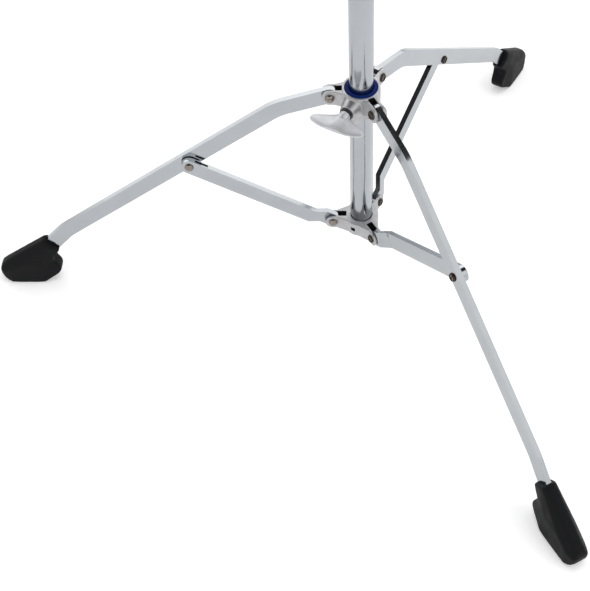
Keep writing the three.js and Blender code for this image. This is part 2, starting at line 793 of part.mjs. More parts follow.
function wingNut(low) {
  const hub = turned([
    [0, low], [wing_nut_radius, low], [wing_nut_radius * 0.8, low + wing_nut_height],
    [0, low + wing_nut_height],
  ], coarse_steps);
  const half = [
    [wing_nut_radius * 0.6, low + wing_nut_height / 6],
    ...arc(wing_nut_half_span - wing_nut_tip_radius, low + wing_nut_rise, wing_nut_tip_radius, -60, 110, 6),
    [wing_nut_radius * 0.6, low + wing_nut_height * 0.9],
  ];
  const mirrored = half.map(([x, z]) => [-x, z]).reverse();
  const wings = sideways(outline([...half, ...mirrored]), -wing_nut_blade / 2, wing_nut_blade / 2);
  const bore = rod(sleeve_bore, low - cut_overrun, low + 2 * wing_nut_height, coarse_steps);
  return hub.add(wings).subtract(bore);
}

const upper_felt_base = felt_base + lower_felt_height + clearance;
const wing_nut_base = Math.max(upper_felt_base + upper_felt_height, sleeve_base + sleeve_length) + clearance;

place('seat_cup', seatCup(), chrome_finish());
place('seat_sleeve', seatSleeve(), washer_finish());
place('lower_felt', felt(felt_base, lower_felt_height), felt_finish());
place('upper_felt', felt(upper_felt_base, upper_felt_height), felt_finish());
place('wing_nut', wingNut(wing_nut_base), wing_finish());

// The origin lies on the floor, under the middle of the space the stand takes up
stand.updateMatrixWorld(true);
const space = new THREE.Box3().setFromObject(stand, true);
const middle = space.getCenter(new THREE.Vector3());
stand.position.set(-middle.x, -middle.y, -space.min.z);

export default stand;
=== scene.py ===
import json
import math

import bmesh
import bpy
from mathutils import Euler, Matrix, Vector


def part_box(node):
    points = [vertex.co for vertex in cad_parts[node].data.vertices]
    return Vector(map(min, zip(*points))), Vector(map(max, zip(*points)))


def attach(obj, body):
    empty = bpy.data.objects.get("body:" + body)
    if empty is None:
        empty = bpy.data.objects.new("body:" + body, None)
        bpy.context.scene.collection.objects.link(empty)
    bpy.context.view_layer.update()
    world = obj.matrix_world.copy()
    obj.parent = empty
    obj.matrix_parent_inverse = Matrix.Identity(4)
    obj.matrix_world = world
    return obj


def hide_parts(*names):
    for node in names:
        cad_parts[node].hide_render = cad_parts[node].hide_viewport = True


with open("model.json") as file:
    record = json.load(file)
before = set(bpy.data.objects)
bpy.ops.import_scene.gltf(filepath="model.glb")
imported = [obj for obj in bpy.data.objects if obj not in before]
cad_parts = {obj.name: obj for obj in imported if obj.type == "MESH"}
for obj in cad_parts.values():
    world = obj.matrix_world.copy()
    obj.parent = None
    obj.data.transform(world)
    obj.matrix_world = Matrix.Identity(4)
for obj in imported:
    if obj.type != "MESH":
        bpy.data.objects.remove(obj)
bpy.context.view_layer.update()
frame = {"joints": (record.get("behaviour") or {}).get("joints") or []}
mm = 0.001

# Camera
# The photograph looks down on the folding tripod from the front, with the horizon tilted a little.
# The lens is for a frame 36 mm wide.
camera_place = (0.00604, -0.79718, 1.01543)
camera_look_down = math.radians(52.02)
camera_roll = math.radians(-4.17)
camera_lens = 73.1
camera = bpy.data.objects.new("camera", bpy.data.cameras.new("camera"))
bpy.context.scene.collection.objects.link(camera)
camera.location = camera_place
camera.rotation_euler = (
    Euler((math.pi / 2 - camera_look_down, 0, 0)).to_matrix() @ Matrix.Rotation(camera_roll, 3, "Z")
).to_euler()
camera.data.sensor_width = 36
camera.data.lens = camera_lens
camera.data.clip_start = 0.05
bpy.context.scene.camera = camera
bpy.context.scene.view_settings.view_transform = "Standard"


# Light tent
# A white tent, brightest at the back and open at the top. Polished metal shows its walls and the
# dark room above it, and everything else is lit by its soft level.
def linear(colour):
    """Linear red, green, blue and alpha of an sRGB hex colour."""
    parts = [int(colour[i:i + 2], 16) / 255 for i in (1, 3, 5)]
    return tuple(c / 12.92 if c <= 0.04045 else ((c + 0.055) / 1.055) ** 2.4 for c in parts) + (1,)


def add_node(owner, kind, values=None, links=None, **settings):
    """Adds a node: values are its plain inputs, links its joined ones, settings its own choices."""
    tree = owner.node_tree
    node = tree.nodes.new(kind)
    for setting, value in settings.items():
        setattr(node, setting, value)
    for socket, value in (values or {}).items():
        node.inputs[socket].default_value = value
    for socket, source in (links or {}).items():
        tree.links.new(source, node.inputs[socket])
    return node


def new_material(name, constants):
    """A material and its shader, with the shader's constants set."""
    material = bpy.data.materials.new(name)
    material.use_nodes = True
    shader = material.node_tree.nodes["Principled BSDF"]
    for socket, value in constants.items():
        shader.inputs[socket].default_value = value
    return material, shader


world = bpy.data.worlds.new("light_tent")
world.use_nodes = True
bpy.context.scene.world = world
world.node_tree.nodes.clear()
tent_white = linear("#FFFFFF")
tent_soft_level = 0.62
tent_foot_level = 0.9
tent_wall_level = 1.1
tent_back_share = 1.45
tent_room_level = 0.03
tent_opening_edge = math.cos(math.radians(36.5))
tent_opening_blur = 0.015
tent_opening_middle = (-0.12, 0.015, 0.993)
rays = add_node(world, "ShaderNodeLightPath")
sky_place = add_node(world, "ShaderNodeTexCoord")
sky_parts = add_node(world, "ShaderNodeSeparateXYZ", links={"Vector": sky_place.outputs["Generated"]})
opening_nearness = add_node(
    world, "ShaderNodeVectorMath", {1: tent_opening_middle}, {0: sky_place.outputs["Generated"]},
    operation="DOT_PRODUCT",
)

# What is mirrored: walls that brighten upwards, times the back's share, times the opening's. Each
# goes from one level to another between two places.
tent_shares = [
    (sky_parts.outputs["Z"], (0.05, 0.55), (tent_foot_level, tent_wall_level)),
    (sky_parts.outputs["Y"], (0.35, 0.75), (1.0, tent_back_share)),
    (opening_nearness.outputs["Value"],
     (tent_opening_edge - tent_opening_blur, tent_opening_edge + tent_opening_blur),
     (1.0, tent_room_level)),
]
mirror_level = None
for source, (start, end), (low, high) in tent_shares:
    share = add_node(
        world, "ShaderNodeMapRange", {"From Min": start, "From Max": end, "To Min": low, "To Max": high},
        {"Value": source}, interpolation_type="SMOOTHSTEP",
    ).outputs["Result"]
    if mirror_level is not None:
        share = add_node(
            world, "ShaderNodeMath", links={0: mirror_level, 1: share}, operation="MULTIPLY",
        ).outputs[0]
    mirror_level = share
soft_light = add_node(world, "ShaderNodeBackground", {"Color": tent_white, "Strength": tent_soft_level})
mirror_light = add_node(world, "ShaderNodeBackground", {"Color": tent_white}, {"Strength": mirror_level})
seen_light = add_node(world, "ShaderNodeBackground", {"Color": tent_white, "Strength": 1.0})
tent_light = soft_light
for ray, light in (("Is Glossy Ray", mirror_light), ("Is Camera Ray", seen_light)):
    tent_light = add_node(
        world, "ShaderNodeMixShader",
        links={0: rays.outputs[ray], 1: tent_light.outputs[0], 2: light.outputs[0]},
    )
add_node(world, "ShaderNodeOutputWorld", links={"Surface": tent_light.outputs[0]})


def soft_box(name, place, size, power):
    """A square lamp at a place, turned to the tripod's middle, its own shape not mirrored."""
    lamp = bpy.data.objects.new(name, bpy.data.lights.new(name, "AREA"))
    bpy.context.scene.collection.objects.link(lamp)
    lamp.data.size = size
    lamp.data.energy = power
    lamp.location = place
    lamp.visible_glossy = False
    aim = tripod_middle - Vector(place)
    lamp.rotation_euler = aim.to_track_quat("-Z", "Y").to_euler()


tripod_middle = Vector((0.08, 0.02, 0.2))
soft_box("roof_box", (0.5, -0.1, 2.6), 1.6, 20)
soft_box("right_box", (2.0, -0.9, 1.6), 1.2, 6.5)
soft_box("back_box", (-1.1, 2.0, 1.5), 1.2, 5)

# Floor
# White seamless paper under the tripod, burnt out to white in the picture, with the soft shadows
# of the boots and legs left on it.
paper_seen_lift = 0.32
paper_mirrored_lift = 0.12
floor_white, paper = new_material(
    "white_paper_floor",
    {"Base Color": linear("#F4F4F5"), "Roughness": 0.95, "Specular IOR Level": 0.0},
)
paper_rays = add_node(floor_white, "ShaderNodeLightPath")
paper_seen = add_node(
    floor_white, "ShaderNodeMath", {1: paper_seen_lift}, {0: paper_rays.outputs["Is Camera Ray"]},
    operation="MULTIPLY",
)
paper_lift = add_node(
    floor_white, "ShaderNodeMath", {1: paper_mirrored_lift},
    {0: paper_rays.outputs["Is Glossy Ray"], 2: paper_seen.outputs[0]}, operation="MULTIPLY_ADD",
)
paper_glow = add_node(
    floor_white, "ShaderNodeEmission", {"Color": tent_white}, {"Strength": paper_lift.outputs[0]},
)
paper_sum = add_node(
    floor_white, "ShaderNodeAddShader", links={0: paper.outputs[0], 1: paper_glow.outputs[0]},
)
floor_white.node_tree.links.new(
    paper_sum.outputs[0], floor_white.node_tree.nodes["Material Output"].inputs["Surface"],
)
bpy.ops.object.select_all(action="DESELECT")
bpy.ops.mesh.primitive_plane_add(size=60)
floor = bpy.context.object
floor.name = "floor"
floor.data.materials.append(floor_white)

# Base tube
# 22.2 mm steel tube with a 1.2 mm wall, chromed and polished. Its lower end is fixed in the lower
# collar and its upper end in the base clamp.
joint_places = {j["name"]: Vector(j["pos_m"]) for j in frame["joints"] if "pos_m" in j}
tube_low, tube_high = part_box("base_tube")
axis_x = (tube_low.x + tube_high.x) / 2
axis_y = (tube_low.y + tube_high.y) / 2
lower_hinge_height = joint_places["tripod_fold"].z
upper_hinge_height = joint_places["collar_level"].z
on_axis = Matrix.Translation((axis_x, axis_y, 0))
round_sides = 96
base_tube_radius = 11.1 * mm
middle_tube_radius = 9.5 * mm
top_tube_radius = 7.95 * mm
tube_wall = 1.2 * mm


# Shared steps
# What all pieces are made with: selecting, placing, easing, turning on a lathe, and the finish.
def deselect():
    """Nothing is selected, and no mesh is being edited."""
    if bpy.context.object and bpy.context.object.mode != "OBJECT":
        bpy.ops.object.mode_set(mode="OBJECT")
    bpy.ops.object.select_all(action="DESELECT")


def take(piece):
    """Selects one piece alone."""
    deselect()
    piece.select_set(True)
    bpy.context.view_layer.objects.active = piece
    return piece


def settle():
    """Applies the selected piece's place, turn and size, so that they are in its mesh."""
    bpy.ops.object.transform_apply(location=True, rotation=True, scale=True)


def put(piece, place):
    """Moves a piece by a matrix."""
    take(piece)
    piece.matrix_world = place @ piece.matrix_world
    settle()
    return piece


def modify(piece, kind, **settings):
    """Adds a modifier and applies it."""
    take(piece)
    modifier = piece.modifiers.new(kind.lower(), kind)
    for setting, value in settings.items():
        setattr(modifier, setting, value)
    bpy.ops.object.modifier_apply(modifier=modifier.name)
    return piece


def crisp(piece, limit=40):
    """Shades a piece smooth, except over its sharp edges."""
    take(piece)
    bpy.ops.object.shade_smooth_by_angle(angle=math.radians(limit))
    return piece


def ease(piece, width, segments=2, limit=32):
    """Breaks the sharp edges and shades the rest smooth."""
    modify(piece, "BEVEL", width=width, segments=segments, limit_method="ANGLE",
           angle_limit=math.radians(limit), harden_normals=False, use_clamp_overlap=True)
    return crisp(piece, limit)


def open_mesh():
    """Starts to edit the active piece's mesh, with all of it selected."""
    bpy.ops.object.mode_set(mode="EDIT")
    bpy.ops.mesh.select_mode(type="VERT")
    bpy.ops.mesh.select_all(action="SELECT")


def close_mesh():
    """Ends the editing of a mesh."""
    bpy.ops.object.mode_set(mode="OBJECT")


def face_outwards():
    """Turns all faces of the mesh being edited outwards."""
    bpy.ops.mesh.select_all(action="SELECT")
    bpy.ops.mesh.normals_make_consistent(inside=False)


def extrude(x, y, z):
    """Extrudes what is selected."""
    bpy.ops.mesh.extrude_region_move(TRANSFORM_OT_translate={"value": (x, y, z)})


def turned(profile, closed=False, sides=round_sides):
    """Round piece about Z: a ring is extruded and resized along a profile of radius and height."""
    deselect()
    radius, height = profile[0]
    bpy.ops.mesh.primitive_circle_add(vertices=sides, radius=radius, location=(0, 0, height))
    piece = bpy.context.object
    settle()
    open_mesh()
    for next_radius, next_height in profile[1:] + (profile[:1] if closed else []):
        extrude(0, 0, next_height - height)
        grow = next_radius / radius
        bpy.ops.transform.resize(value=(grow, grow, 1), center_override=(0, 0, next_height))
        radius, height = next_radius, next_height
    bpy.ops.mesh.select_all(action="SELECT")
    if closed:
        bpy.ops.mesh.remove_doubles(threshold=0.00001)
    else:
        bpy.ops.mesh.fill_holes(sides=0)
    face_outwards()
    close_mesh()
    return piece


def ring(inner, outer, low, high, sides=round_sides):
    """A plain ring about Z between two radii and two heights."""
    profile = [(inner, low), (outer, low), (outer, high), (inner, high)]
    return turned(profile, closed=True, sides=sides)


def finished(piece, name, body, nodes, material):
    """Names a piece, paints it, ties it to its body and hides the CAD nodes that it stands for."""
    piece.name = name
    piece.data.name = name
    if not piece.data.materials:
        piece.data.materials.append(material)
    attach(piece, body)
    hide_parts(*nodes)
    return piece


def finish(name, constants, tones, spots, gloss=None, gloss_from=(0.3, 0.7), grain=None, relief=None,
           swell=None):
    """A material that varies in soft spots and has a fine relief.

    The constants are set on its shader. Spots and grain are noises. The two tones and the two ends
    of the gloss follow the spots. Relief and swell are each a strength and a depth: the relief
    follows the grain, or the spots where there is no grain, and lies on a swell of the spots.
    """
    material, shader = new_material(name, constants)
    place = {"Vector": add_node(material, "ShaderNodeTexCoord").outputs["Object"]}
    spot = add_node(material, "ShaderNodeTexNoise", spots, place).outputs["Fac"]
    tone = add_node(
        material, "ShaderNodeMix", {"A": linear(tones[0]), "B": linear(tones[1])}, {"Factor": spot},
        data_type="RGBA",
    )
    joined = {"Base Color": tone.outputs["Result"]}
    if gloss:
        shine = add_node(
            material, "ShaderNodeMapRange",
            {"From Min": gloss_from[0], "From Max": gloss_from[1], "To Min": gloss[0], "To Max": gloss[1]},
            {"Value": spot},
        )
        joined["Roughness"] = shine.outputs["Result"]
    if relief:
        height = {"Height": spot}
        if grain:
            height = {"Height": add_node(material, "ShaderNodeTexNoise", grain, place).outputs["Fac"]}
        if swell:
            wave = add_node(
                material, "ShaderNodeBump", {"Strength": swell[0], "Distance": swell[1]}, {"Height": spot},
            )
            height["Normal"] = wave.outputs["Normal"]
        bump = add_node(
            material, "ShaderNodeBump", {"Strength": relief[0], "Distance": relief[1]}, height,
        )
        joined["Normal"] = bump.outputs["Normal"]
    for socket, source in joined.items():
        material.node_tree.links.new(source, shader.inputs[socket])
    return material


# Polished chrome plate on drawn steel: a cool light grey mirror, with faint polishing lines and
# finger smears that show only as soft changes in its gloss
smear_size = 22 * mm
polish_line_size = 0.5 * mm
polished_chrome = finish(
    "polished_chrome_plate", {"Metallic": 1.0}, ("#BFC3C6", "#B4B8BC"),
    {"Scale": 1 / smear_size, "Detail": 4.0, "Roughness": 0.6},
    gloss=(0.07, 0.17), gloss_from=(0.35, 0.7),
    grain={"Scale": 1 / polish_line_size, "Detail": 2.0}, relief=(0.06, 0.02 * mm),
)


def tube(name, node, body, radius):
    """A tube between its CAD node's ends, its rims broken."""
    low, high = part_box(node)
    piece = ring(radius - tube_wall, radius, low.z, high.z)
    ease(piece, 0.3 * mm)
    put(piece, on_axis)
    return finished(piece, name, body, [node], polished_chrome)


tube("chromed_base_tube", "base_tube", "base", base_tube_radius)

# Tube plug
# Rubber plug pushed into the base tube's lower end, with a flange under the tube's rim.
# Moulded black rubber: dull, faintly grained, a little paler where it has picked up dust
rubber_dust_size = 14 * mm
rubber_grain_size = 0.7 * mm
moulded_rubber = finish(
    "moulded_black_rubber", {"Specular IOR Level": 0.1, "IOR": 1.52}, ("#0C0D0E", "#18191B"),
    {"Scale": 1 / rubber_dust_size, "Detail": 5.0}, gloss=(0.42, 0.6),
    grain={"Scale": 1 / rubber_grain_size, "Detail": 3.0}, relief=(0.35, 0.05 * mm),
)

plug_low, plug_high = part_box("base_tube_plug")
plug_flange = 2.2 * mm
plug_radius = base_tube_radius - tube_wall - 0.3 * mm
plug = turned([
    (base_tube_radius, plug_low.z), (base_tube_radius, plug_low.z + plug_flange),
    (plug_radius, plug_low.z + plug_flange), (plug_radius, plug_high.z),
])
ease(plug, 0.5 * mm)
put(plug, on_axis)
finished(plug, "rubber_tube_plug", "base", ["base_tube_plug"], moulded_rubber)

# Legs
# Three legs of 16.5 x 5.2 mm channel, folded from 1.3 mm steel sheet and closed on top, bent near
# the collar and again above the boot. The hinge end is pressed flat and rounded. Chromed.
first_leg_azimuth = math.radians(174.75)
leg_azimuths = [first_leg_azimuth + math.radians(120) * i for i in range(3)]
on_lower_hinge = Matrix.Translation((axis_x, axis_y, lower_hinge_height))
hinge_radius = 28.8 * mm
link_length = 162.4 * mm
spread = math.radians(31.66)
collar_spacing = upper_hinge_height - lower_hinge_height
bar_width = 5.2 * mm
bar_height = 16.5 * mm
bar_wall = 1.3 * mm
inside_half = bar_width / 2 - bar_wall
bar_edge = 0.2 * mm
fold_radius = 0.8 * mm
end_sides = 64
leg_bend_radius = 60 * mm
leg_in_boot = 40 * mm
channel_start = 14 * mm
upper_hinge = Vector((hinge_radius, 0, collar_spacing))
pivot = Vector((hinge_radius + link_length * math.cos(spread), 0, link_length * math.sin(spread)))
along_x = (0, math.pi / 2, 0)
along_y = (math.pi / 2, 0, 0)


def link_point(along, rise):
    """A point of a leg's plane, along the line from its hinge to its pivot and above it."""
    return upper_hinge + Vector((
        along * math.cos(spread) + rise * math.sin(spread), 0,
        rise * math.cos(spread) - along * math.sin(spread),
    ))


def angle_of(start, end):
    """The rise of a line in a leg's plane."""
    return math.atan2(end.z - start.z, end.x - start.x)


def heading(angle):
    """The direction of a line that rises by an angle in a leg's plane."""
    return Vector((math.cos(angle), 0, math.sin(angle)))


knee = link_point(50.4 * mm, 12.6 * mm)
ankle = link_point(336.2 * mm, -11.6 * mm)
boot_mouth = link_point(362.9 * mm, -19.3 * mm)
boot_angle = angle_of(ankle, boot_mouth)
leg_end = boot_mouth + leg_in_boot * heading(boot_angle)


def pick(piece, kind, test):
    """Selects the vertices, edges or faces of the mesh being edited for which the test holds."""
    bpy.ops.mesh.select_mode(type=kind)
    bpy.ops.mesh.select_all(action="DESELECT")
    mesh = bmesh.from_edit_mesh(piece.data)
    for item in {"VERT": mesh.verts, "EDGE": mesh.edges, "FACE": mesh.faces}[kind]:
        if test(item):
            item.select_set(True)
    mesh.select_flush_mode()
    bmesh.update_edit_mesh(piece.data)


def middle_of(item):
    """The mean of an edge's or a face's corners."""
    return sum((v.co for v in item.verts), Vector()) / len(item.verts)


def trim(point, outward):
    """Cuts the mesh being edited at a plane, clears its outer side and closes it."""
    bpy.ops.mesh.bisect(plane_co=point, plane_no=outward, clear_outer=True, use_fill=True)


def round_bar(radius, length, centre=(0, 0, 0), turn=(0, 0, 0), sides=end_sides):
    """A round bar about a centre, upright unless it is turned."""
    deselect()
    bpy.ops.mesh.primitive_cylinder_add(
        vertices=sides, radius=radius, depth=length, location=centre, rotation=turn)
    settle()
    return bpy.context.object


def half_disc(radius, width, centre, angle, y=0.0):
    """A flat half disc about a hinge, closed by a square face that looks along the angle."""
    piece = round_bar(radius, width, centre + Vector((0, y, 0)), along_y)
    ahead = heading(angle)
    open_mesh()
    trim(centre, ahead)
    pick(piece, "FACE", lambda face: face.normal.dot(ahead) > 0.99
         and abs((face.calc_center_median() - centre).dot(ahead)) < 0.1 * mm)
    return piece


def extrude_along(angle, distance):
    """Extrudes what is selected along a direction in a leg's plane."""
    extrude(*(distance * heading(angle)))


def hollow_and_fold(piece, is_below):
    """Opens the channel from below and rounds the folds along its top."""
    pick(piece, "FACE", is_below)
    bpy.ops.mesh.inset(thickness=bar_wall)
    bpy.ops.mesh.extrude_region_shrink_fatten(
        TRANSFORM_OT_shrink_fatten={"value": -(bar_height - bar_wall), "use_even_offset": True})
    pick(piece, "EDGE", lambda edge: len(edge.link_faces) == 2
         and sum(abs(face.normal.y) > 0.7 for face in edge.link_faces) == 1
         and edge.calc_face_angle() > 1 and any(face.normal.z > 0.5 for face in edge.link_faces))
    bpy.ops.mesh.bevel(offset=fold_radius, segments=5, affect="EDGES", clamp_overlap=True)
    close_mesh()


def bent_bar(corners):
    """A channel from its hinge through bends of one radius to its end, in a leg's own plane."""
    angle = angle_of(corners[0], corners[1])
    piece = half_disc(bar_height / 2, bar_width, corners[0], angle)
    extrude_along(angle, channel_start)
    start = corners[0] + channel_start * heading(angle)
    reached = start
    for corner, beyond in zip(corners[1:-1], corners[2:]):
        after = angle_of(corner, beyond)
        turn = after - angle
        setback = leg_bend_radius * abs(math.tan(turn / 2))
        bend_start = corner - setback * heading(angle)
        extrude_along(angle, (bend_start - reached).length)
        side = math.copysign(1, turn)
        centre = bend_start + side * leg_bend_radius * Vector((-math.sin(angle), 0, math.cos(angle)))
        bpy.ops.mesh.spin(steps=8, angle=turn, center=centre, axis=(0, 1, 0))
        reached = corner + setback * heading(after)
        angle = after
    extrude_along(angle, (corners[-1] - reached).length)
    hollow_and_fold(piece, lambda face: face.normal.z < -0.6 and middle_of(face).x > start.x)
    return piece


def on_each_leg(piece):
    """Numbered copies of a piece, each with its own mesh, turned about the tube to its leg."""
    made = []
    for azimuth in leg_azimuths:
        copy = piece.copy()
        copy.data = piece.data.copy()
        bpy.context.scene.collection.objects.link(copy)
        made.append(put(copy, on_lower_hinge @ Matrix.Rotation(azimuth, 4, "Z")))
    bpy.data.objects.remove(piece)
    return enumerate(made, 1)


def painted(piece, materials, test):
    """Gives a piece two finishes, the second one on the faces that pass the test."""
    take(piece)
    for material in materials:
        piece.data.materials.append(material)
    open_mesh()
    pick(piece, "FACE", test)
    piece.active_material_index = 1
    bpy.ops.object.material_slot_assign()
    close_mesh()
    return piece


# The channel's inside: painted shade, metal nearly black in soft spots of two tones, for the shade in the
# channel's depth
inside_spot_size = 6 * mm
channel_inside_shade = finish(
    "channel_inside_painted_shade", {"Metallic": 1.0, "Roughness": 0.55}, ("#1C1C1E", "#303033"),
    {"Scale": 1 / inside_spot_size, "Detail": 5.0},
)


def channel_finished(piece, middle_y):
    """Breaks a channel's edges, keeps its sides' shading flat like sheet and paints its inside near black
    as painted shade.
    """
    ease(piece, bar_edge)
    modify(piece, "WEIGHTED_NORMAL", mode="FACE_AREA", weight=50, keep_sharp=True)
    # The faces inside the channel get the near-black painted shade
    painted(piece, (polished_chrome, channel_inside_shade), lambda face: all(
        abs(vert.co.y - middle_y) < inside_half + 0.05 * mm for vert in face.verts))


leg = bent_bar([upper_hinge, knee, ankle, leg_end])
channel_finished(leg, 0)
for i, piece in on_each_leg(leg):
    finished(piece, f"leg_channel_{i}", f"leg_{i}", [f"leg_{i}"], polished_chrome)

# Braces
# Three braces of the same channel, each from the lower collar to its leg's middle. The end in the
# collar is flat, then the sheet steps sideways so that the brace runs beside its leg. A window in
# its top ends just short of the crossing rivet.
brace_offset = 6.3 * mm
jog_start = 11 * mm
jog_end = 24 * mm
window_start = 2 * mm
window_length = 14 * mm


def combine(piece, other, operation):
    """Changes a piece by another shape, which is used up."""
    modify(piece, "BOOLEAN", operation=operation, solver="EXACT", object=other)
    bpy.data.objects.remove(other)
    return piece


def cut(piece, cutter):
    """Takes a cutter's shape out of a piece."""
    return combine(piece, cutter, "DIFFERENCE")


def block(low, high):
    """A plain block between two corners, used to cut with or to build on."""
    deselect()
    bpy.ops.mesh.primitive_cube_add(size=1, location=(Vector(low) + Vector(high)) / 2)
    piece = bpy.context.object
    piece.scale = Vector(high) - Vector(low)
    settle()
    return piece


def join(pieces):
    """Joins several pieces into the first one."""
    deselect()
    for piece in pieces:
        piece.select_set(True)
    bpy.context.view_layer.objects.active = pieces[0]
    bpy.ops.object.join()
    return pieces[0]


brace = half_disc(bar_height / 2, bar_width, Vector((0, 0, 0)), 0)
extrude(jog_start, 0, 0)
extrude(jog_end - jog_start, brace_offset, 0)
bpy.ops.mesh.delete(type="FACE")
brace_tip = half_disc(
    bar_height / 2, bar_width, Vector((link_length, 0, 0)), math.pi, brace_offset)
bpy.ops.mesh.delete(type="FACE")
join([brace, brace_tip])
open_mesh()
pick(brace, "EDGE", lambda edge: edge.is_boundary)
bpy.ops.mesh.bridge_edge_loops()
face_outwards()
hollow_and_fold(
    brace, lambda face: face.normal.z < -0.9 and jog_end < middle_of(face).x < link_length)
cut(brace, block(
    (link_length - window_start - window_length, brace_offset - inside_half, 0),
    (link_length - window_start, brace_offset + inside_half, bar_height)))
channel_finished(brace, brace_offset)
put(brace, Matrix.Translation((hinge_radius, 0, 0)) @ Matrix.Rotation(-spread, 4, "Y"))
for i, piece in on_each_leg(brace):
    finished(piece, f"brace_channel_{i}", f"brace_{i}", [f"brace_{i}"],
             polished_chrome)

# Rivets
# Semi-tubular steel rivets, nickel plated, 9 mm heads: a dome on one side, and on the other the
# end that was rolled over in the press, with its hole. Three sizes, at the hinges and crossings.
# Nickel plate: warmer and browner than the chrome beside it, lightly scuffed by the rivet press
scuff_size = 1.2 * mm
scuffs = {"Scale": 1 / scuff_size, "Detail": 4.0}
nickel_plate = finish(
    "nickel_plated_rivet", {"Metallic": 1.0}, ("#A79E96", "#7C736C"), scuffs,
    gloss=(0.14, 0.3), relief=(0.15, 0.03 * mm),
)
# Painted shade: the rolled-over ring of each rivet's end is painted dark brown, for the shade round it
rolled_end_shade = finish(
    "rivet_rim_painted_shade", {"Metallic": 1.0, "Roughness": 0.32}, ("#5C5248", "#322C27"), scuffs,
)

clearance = 0.3 * mm
rivet_shank = 2.3 * mm
rivet_head = 4.4 * mm
rivet_dome = 2.9 * mm
dome_steps = 8
dome_turn = math.radians(86)
rolled_height = 1.7 * mm
rolled_hole = 2.7 * mm
drill_radius = 0.8 * mm
upper_ear_half = 5.8 * mm
lower_ear_half = 5.3 * mm
z_to_x = Matrix.Rotation(math.pi / 2, 4, "Y")
z_to_y = Matrix.Rotation(-math.pi / 2, 4, "X")


def rivet(left, right, centre):
    """A rivet between two Y faces, its dome on the +Y side."""
    low = left - clearance
    high = right + clearance
    dome = []
    for step in range(dome_steps + 1):
        turn = dome_turn * step / dome_steps
        dome.append((rivet_head * math.cos(turn), high + rivet_dome * math.sin(turn)))
    piece = turned([
        (drill_radius * 0.3, low + rolled_height), (drill_radius, low + rolled_height * 0.8),
        (drill_radius, low - rolled_height * 0.5), (rolled_hole, low - rolled_height * 0.5),
        (rolled_hole * 1.05, low - rolled_height * 0.85), (rolled_hole * 1.24, low - rolled_height),
        (rivet_head * 0.8, low - rolled_height * 0.92),
        (rivet_head * 0.94, low - rolled_height * 0.5), (rivet_head, low),
        (rivet_shank, low), (rivet_shank, high),
    ] + dome, sides=48)
    crisp(piece, 50)
    # The ring round the rolled end's hole gets the dark painted shade
    painted(piece, (nickel_plate, rolled_end_shade), lambda face: middle_of(face).z < low
            and middle_of(face).xy.length > rolled_hole)
    return put(piece, Matrix.Translation(centre) @ z_to_y)


rivet_kinds = [
    ("upper_rivet", -upper_ear_half, upper_ear_half, upper_hinge, ["collar"] * 3),
    ("lower_rivet", -lower_ear_half, lower_ear_half, Vector((hinge_radius, 0, 0)), ["base"] * 3),
    ("pivot_rivet", -bar_width / 2, brace_offset + bar_width / 2, pivot,
     ["brace_1", "brace_2", "brace_3"]),
]
for kind, left, right, centre, bodies in rivet_kinds:
    for i, piece in on_each_leg(rivet(left, right, centre)):
        finished(piece, f"nickel_{kind}_{i}", bodies[i - 1], [f"{kind}_{i}"],
                 nickel_plate)

# Spacer washers
# A black nylon washer on each crossing rivet keeps brace and leg apart.
# Black nylon, moulded: satin black with a very fine grain, slightly blue in the highlights
nylon_grain_size = 0.5 * mm
nylon_grain = {"Scale": 1 / nylon_grain_size, "Detail": 3.0}
black_nylon = finish(
    "moulded_black_nylon", {"IOR": 1.53}, ("#0C0D10", "#1A1B20"), nylon_grain,
    gloss=(0.34, 0.52), gloss_from=(0, 1), relief=(0.2, 0.03 * mm),
)

spacer_radius = 6.2 * mm
spacer = ring(rivet_shank + clearance, spacer_radius, bar_width / 2 + clearance,
              brace_offset - bar_width / 2 - clearance, sides=64)
ease(spacer, 0.1 * mm)
put(spacer, Matrix.Translation(pivot) @ z_to_y)
for i, piece in on_each_leg(spacer):
    finished(piece, f"nylon_spacer_{i}", f"brace_{i}", [f"pivot_spacer_{i}"],
             black_nylon)

# Lower collar
# Die-cast zinc, chromed: a ring fixed on the base tube's end with three pairs of ears that flow
# into it, and a small square slot in each web between them.
# Chrome plate over a die casting: softer than the tubes, with the casting's slight waves under it
wave_size = 5 * mm
pit_size = 0.6 * mm
cast_chrome = finish(
    "chromed_die_casting", {"Metallic": 1.0}, ("#C9C9CA", "#BABABC"),
    {"Scale": 1 / wave_size, "Detail": 3.0}, gloss=(0.4, 0.5),
    grain={"Scale": 1 / pit_size, "Detail": 2.0}, relief=(0.1, 0.02 * mm), swell=(0.12, 0.15 * mm),
)
# Painted shade in the ears' and webs' slots: nearly black and dull, for the shade deep inside them
slot_shade = finish(
    "slot_painted_shade", {"Specular IOR Level": 0.1, "Roughness": 0.7}, ("#0B0B0C", "#1D1D1F"),
    {"Scale": 1 / wave_size, "Detail": 5.0},
)

ear_radius = 7.8 * mm
ear_slot = bar_width + 2 * clearance
ear_root_radius = 25 * mm
ear_foot_radius = 13 * mm
lower_ear_widening = 2.1
collar_half_height = 7.8 * mm
web_radius = 17.2 * mm
slot_wall = 4.4 * mm
web_slot_width = 4.6 * mm
web_slot_height = 4.2 * mm
web_slot_depth = 4 * mm
casting_voxel = 0.4 * mm


def fuse(piece, other):
    """Adds another shape to a piece."""
    return combine(piece, other, "UNION")


def drum(radius, low, high):
    """A plain drum about Z, used to cut with or to build on."""
    return round_bar(radius, high - low, (0, 0, (low + high) / 2), sides=round_sides)


def cast(piece, voxel=casting_voxel, rounds=5):
    """Fuses overlapping shapes and softens all edges, as a mould's are."""
    modify(piece, "REMESH", mode="VOXEL", voxel_size=voxel, adaptivity=0)
    modify(piece, "SMOOTH", factor=0.5, iterations=rounds)
    take(piece)
    bpy.ops.object.shade_smooth()
    return piece


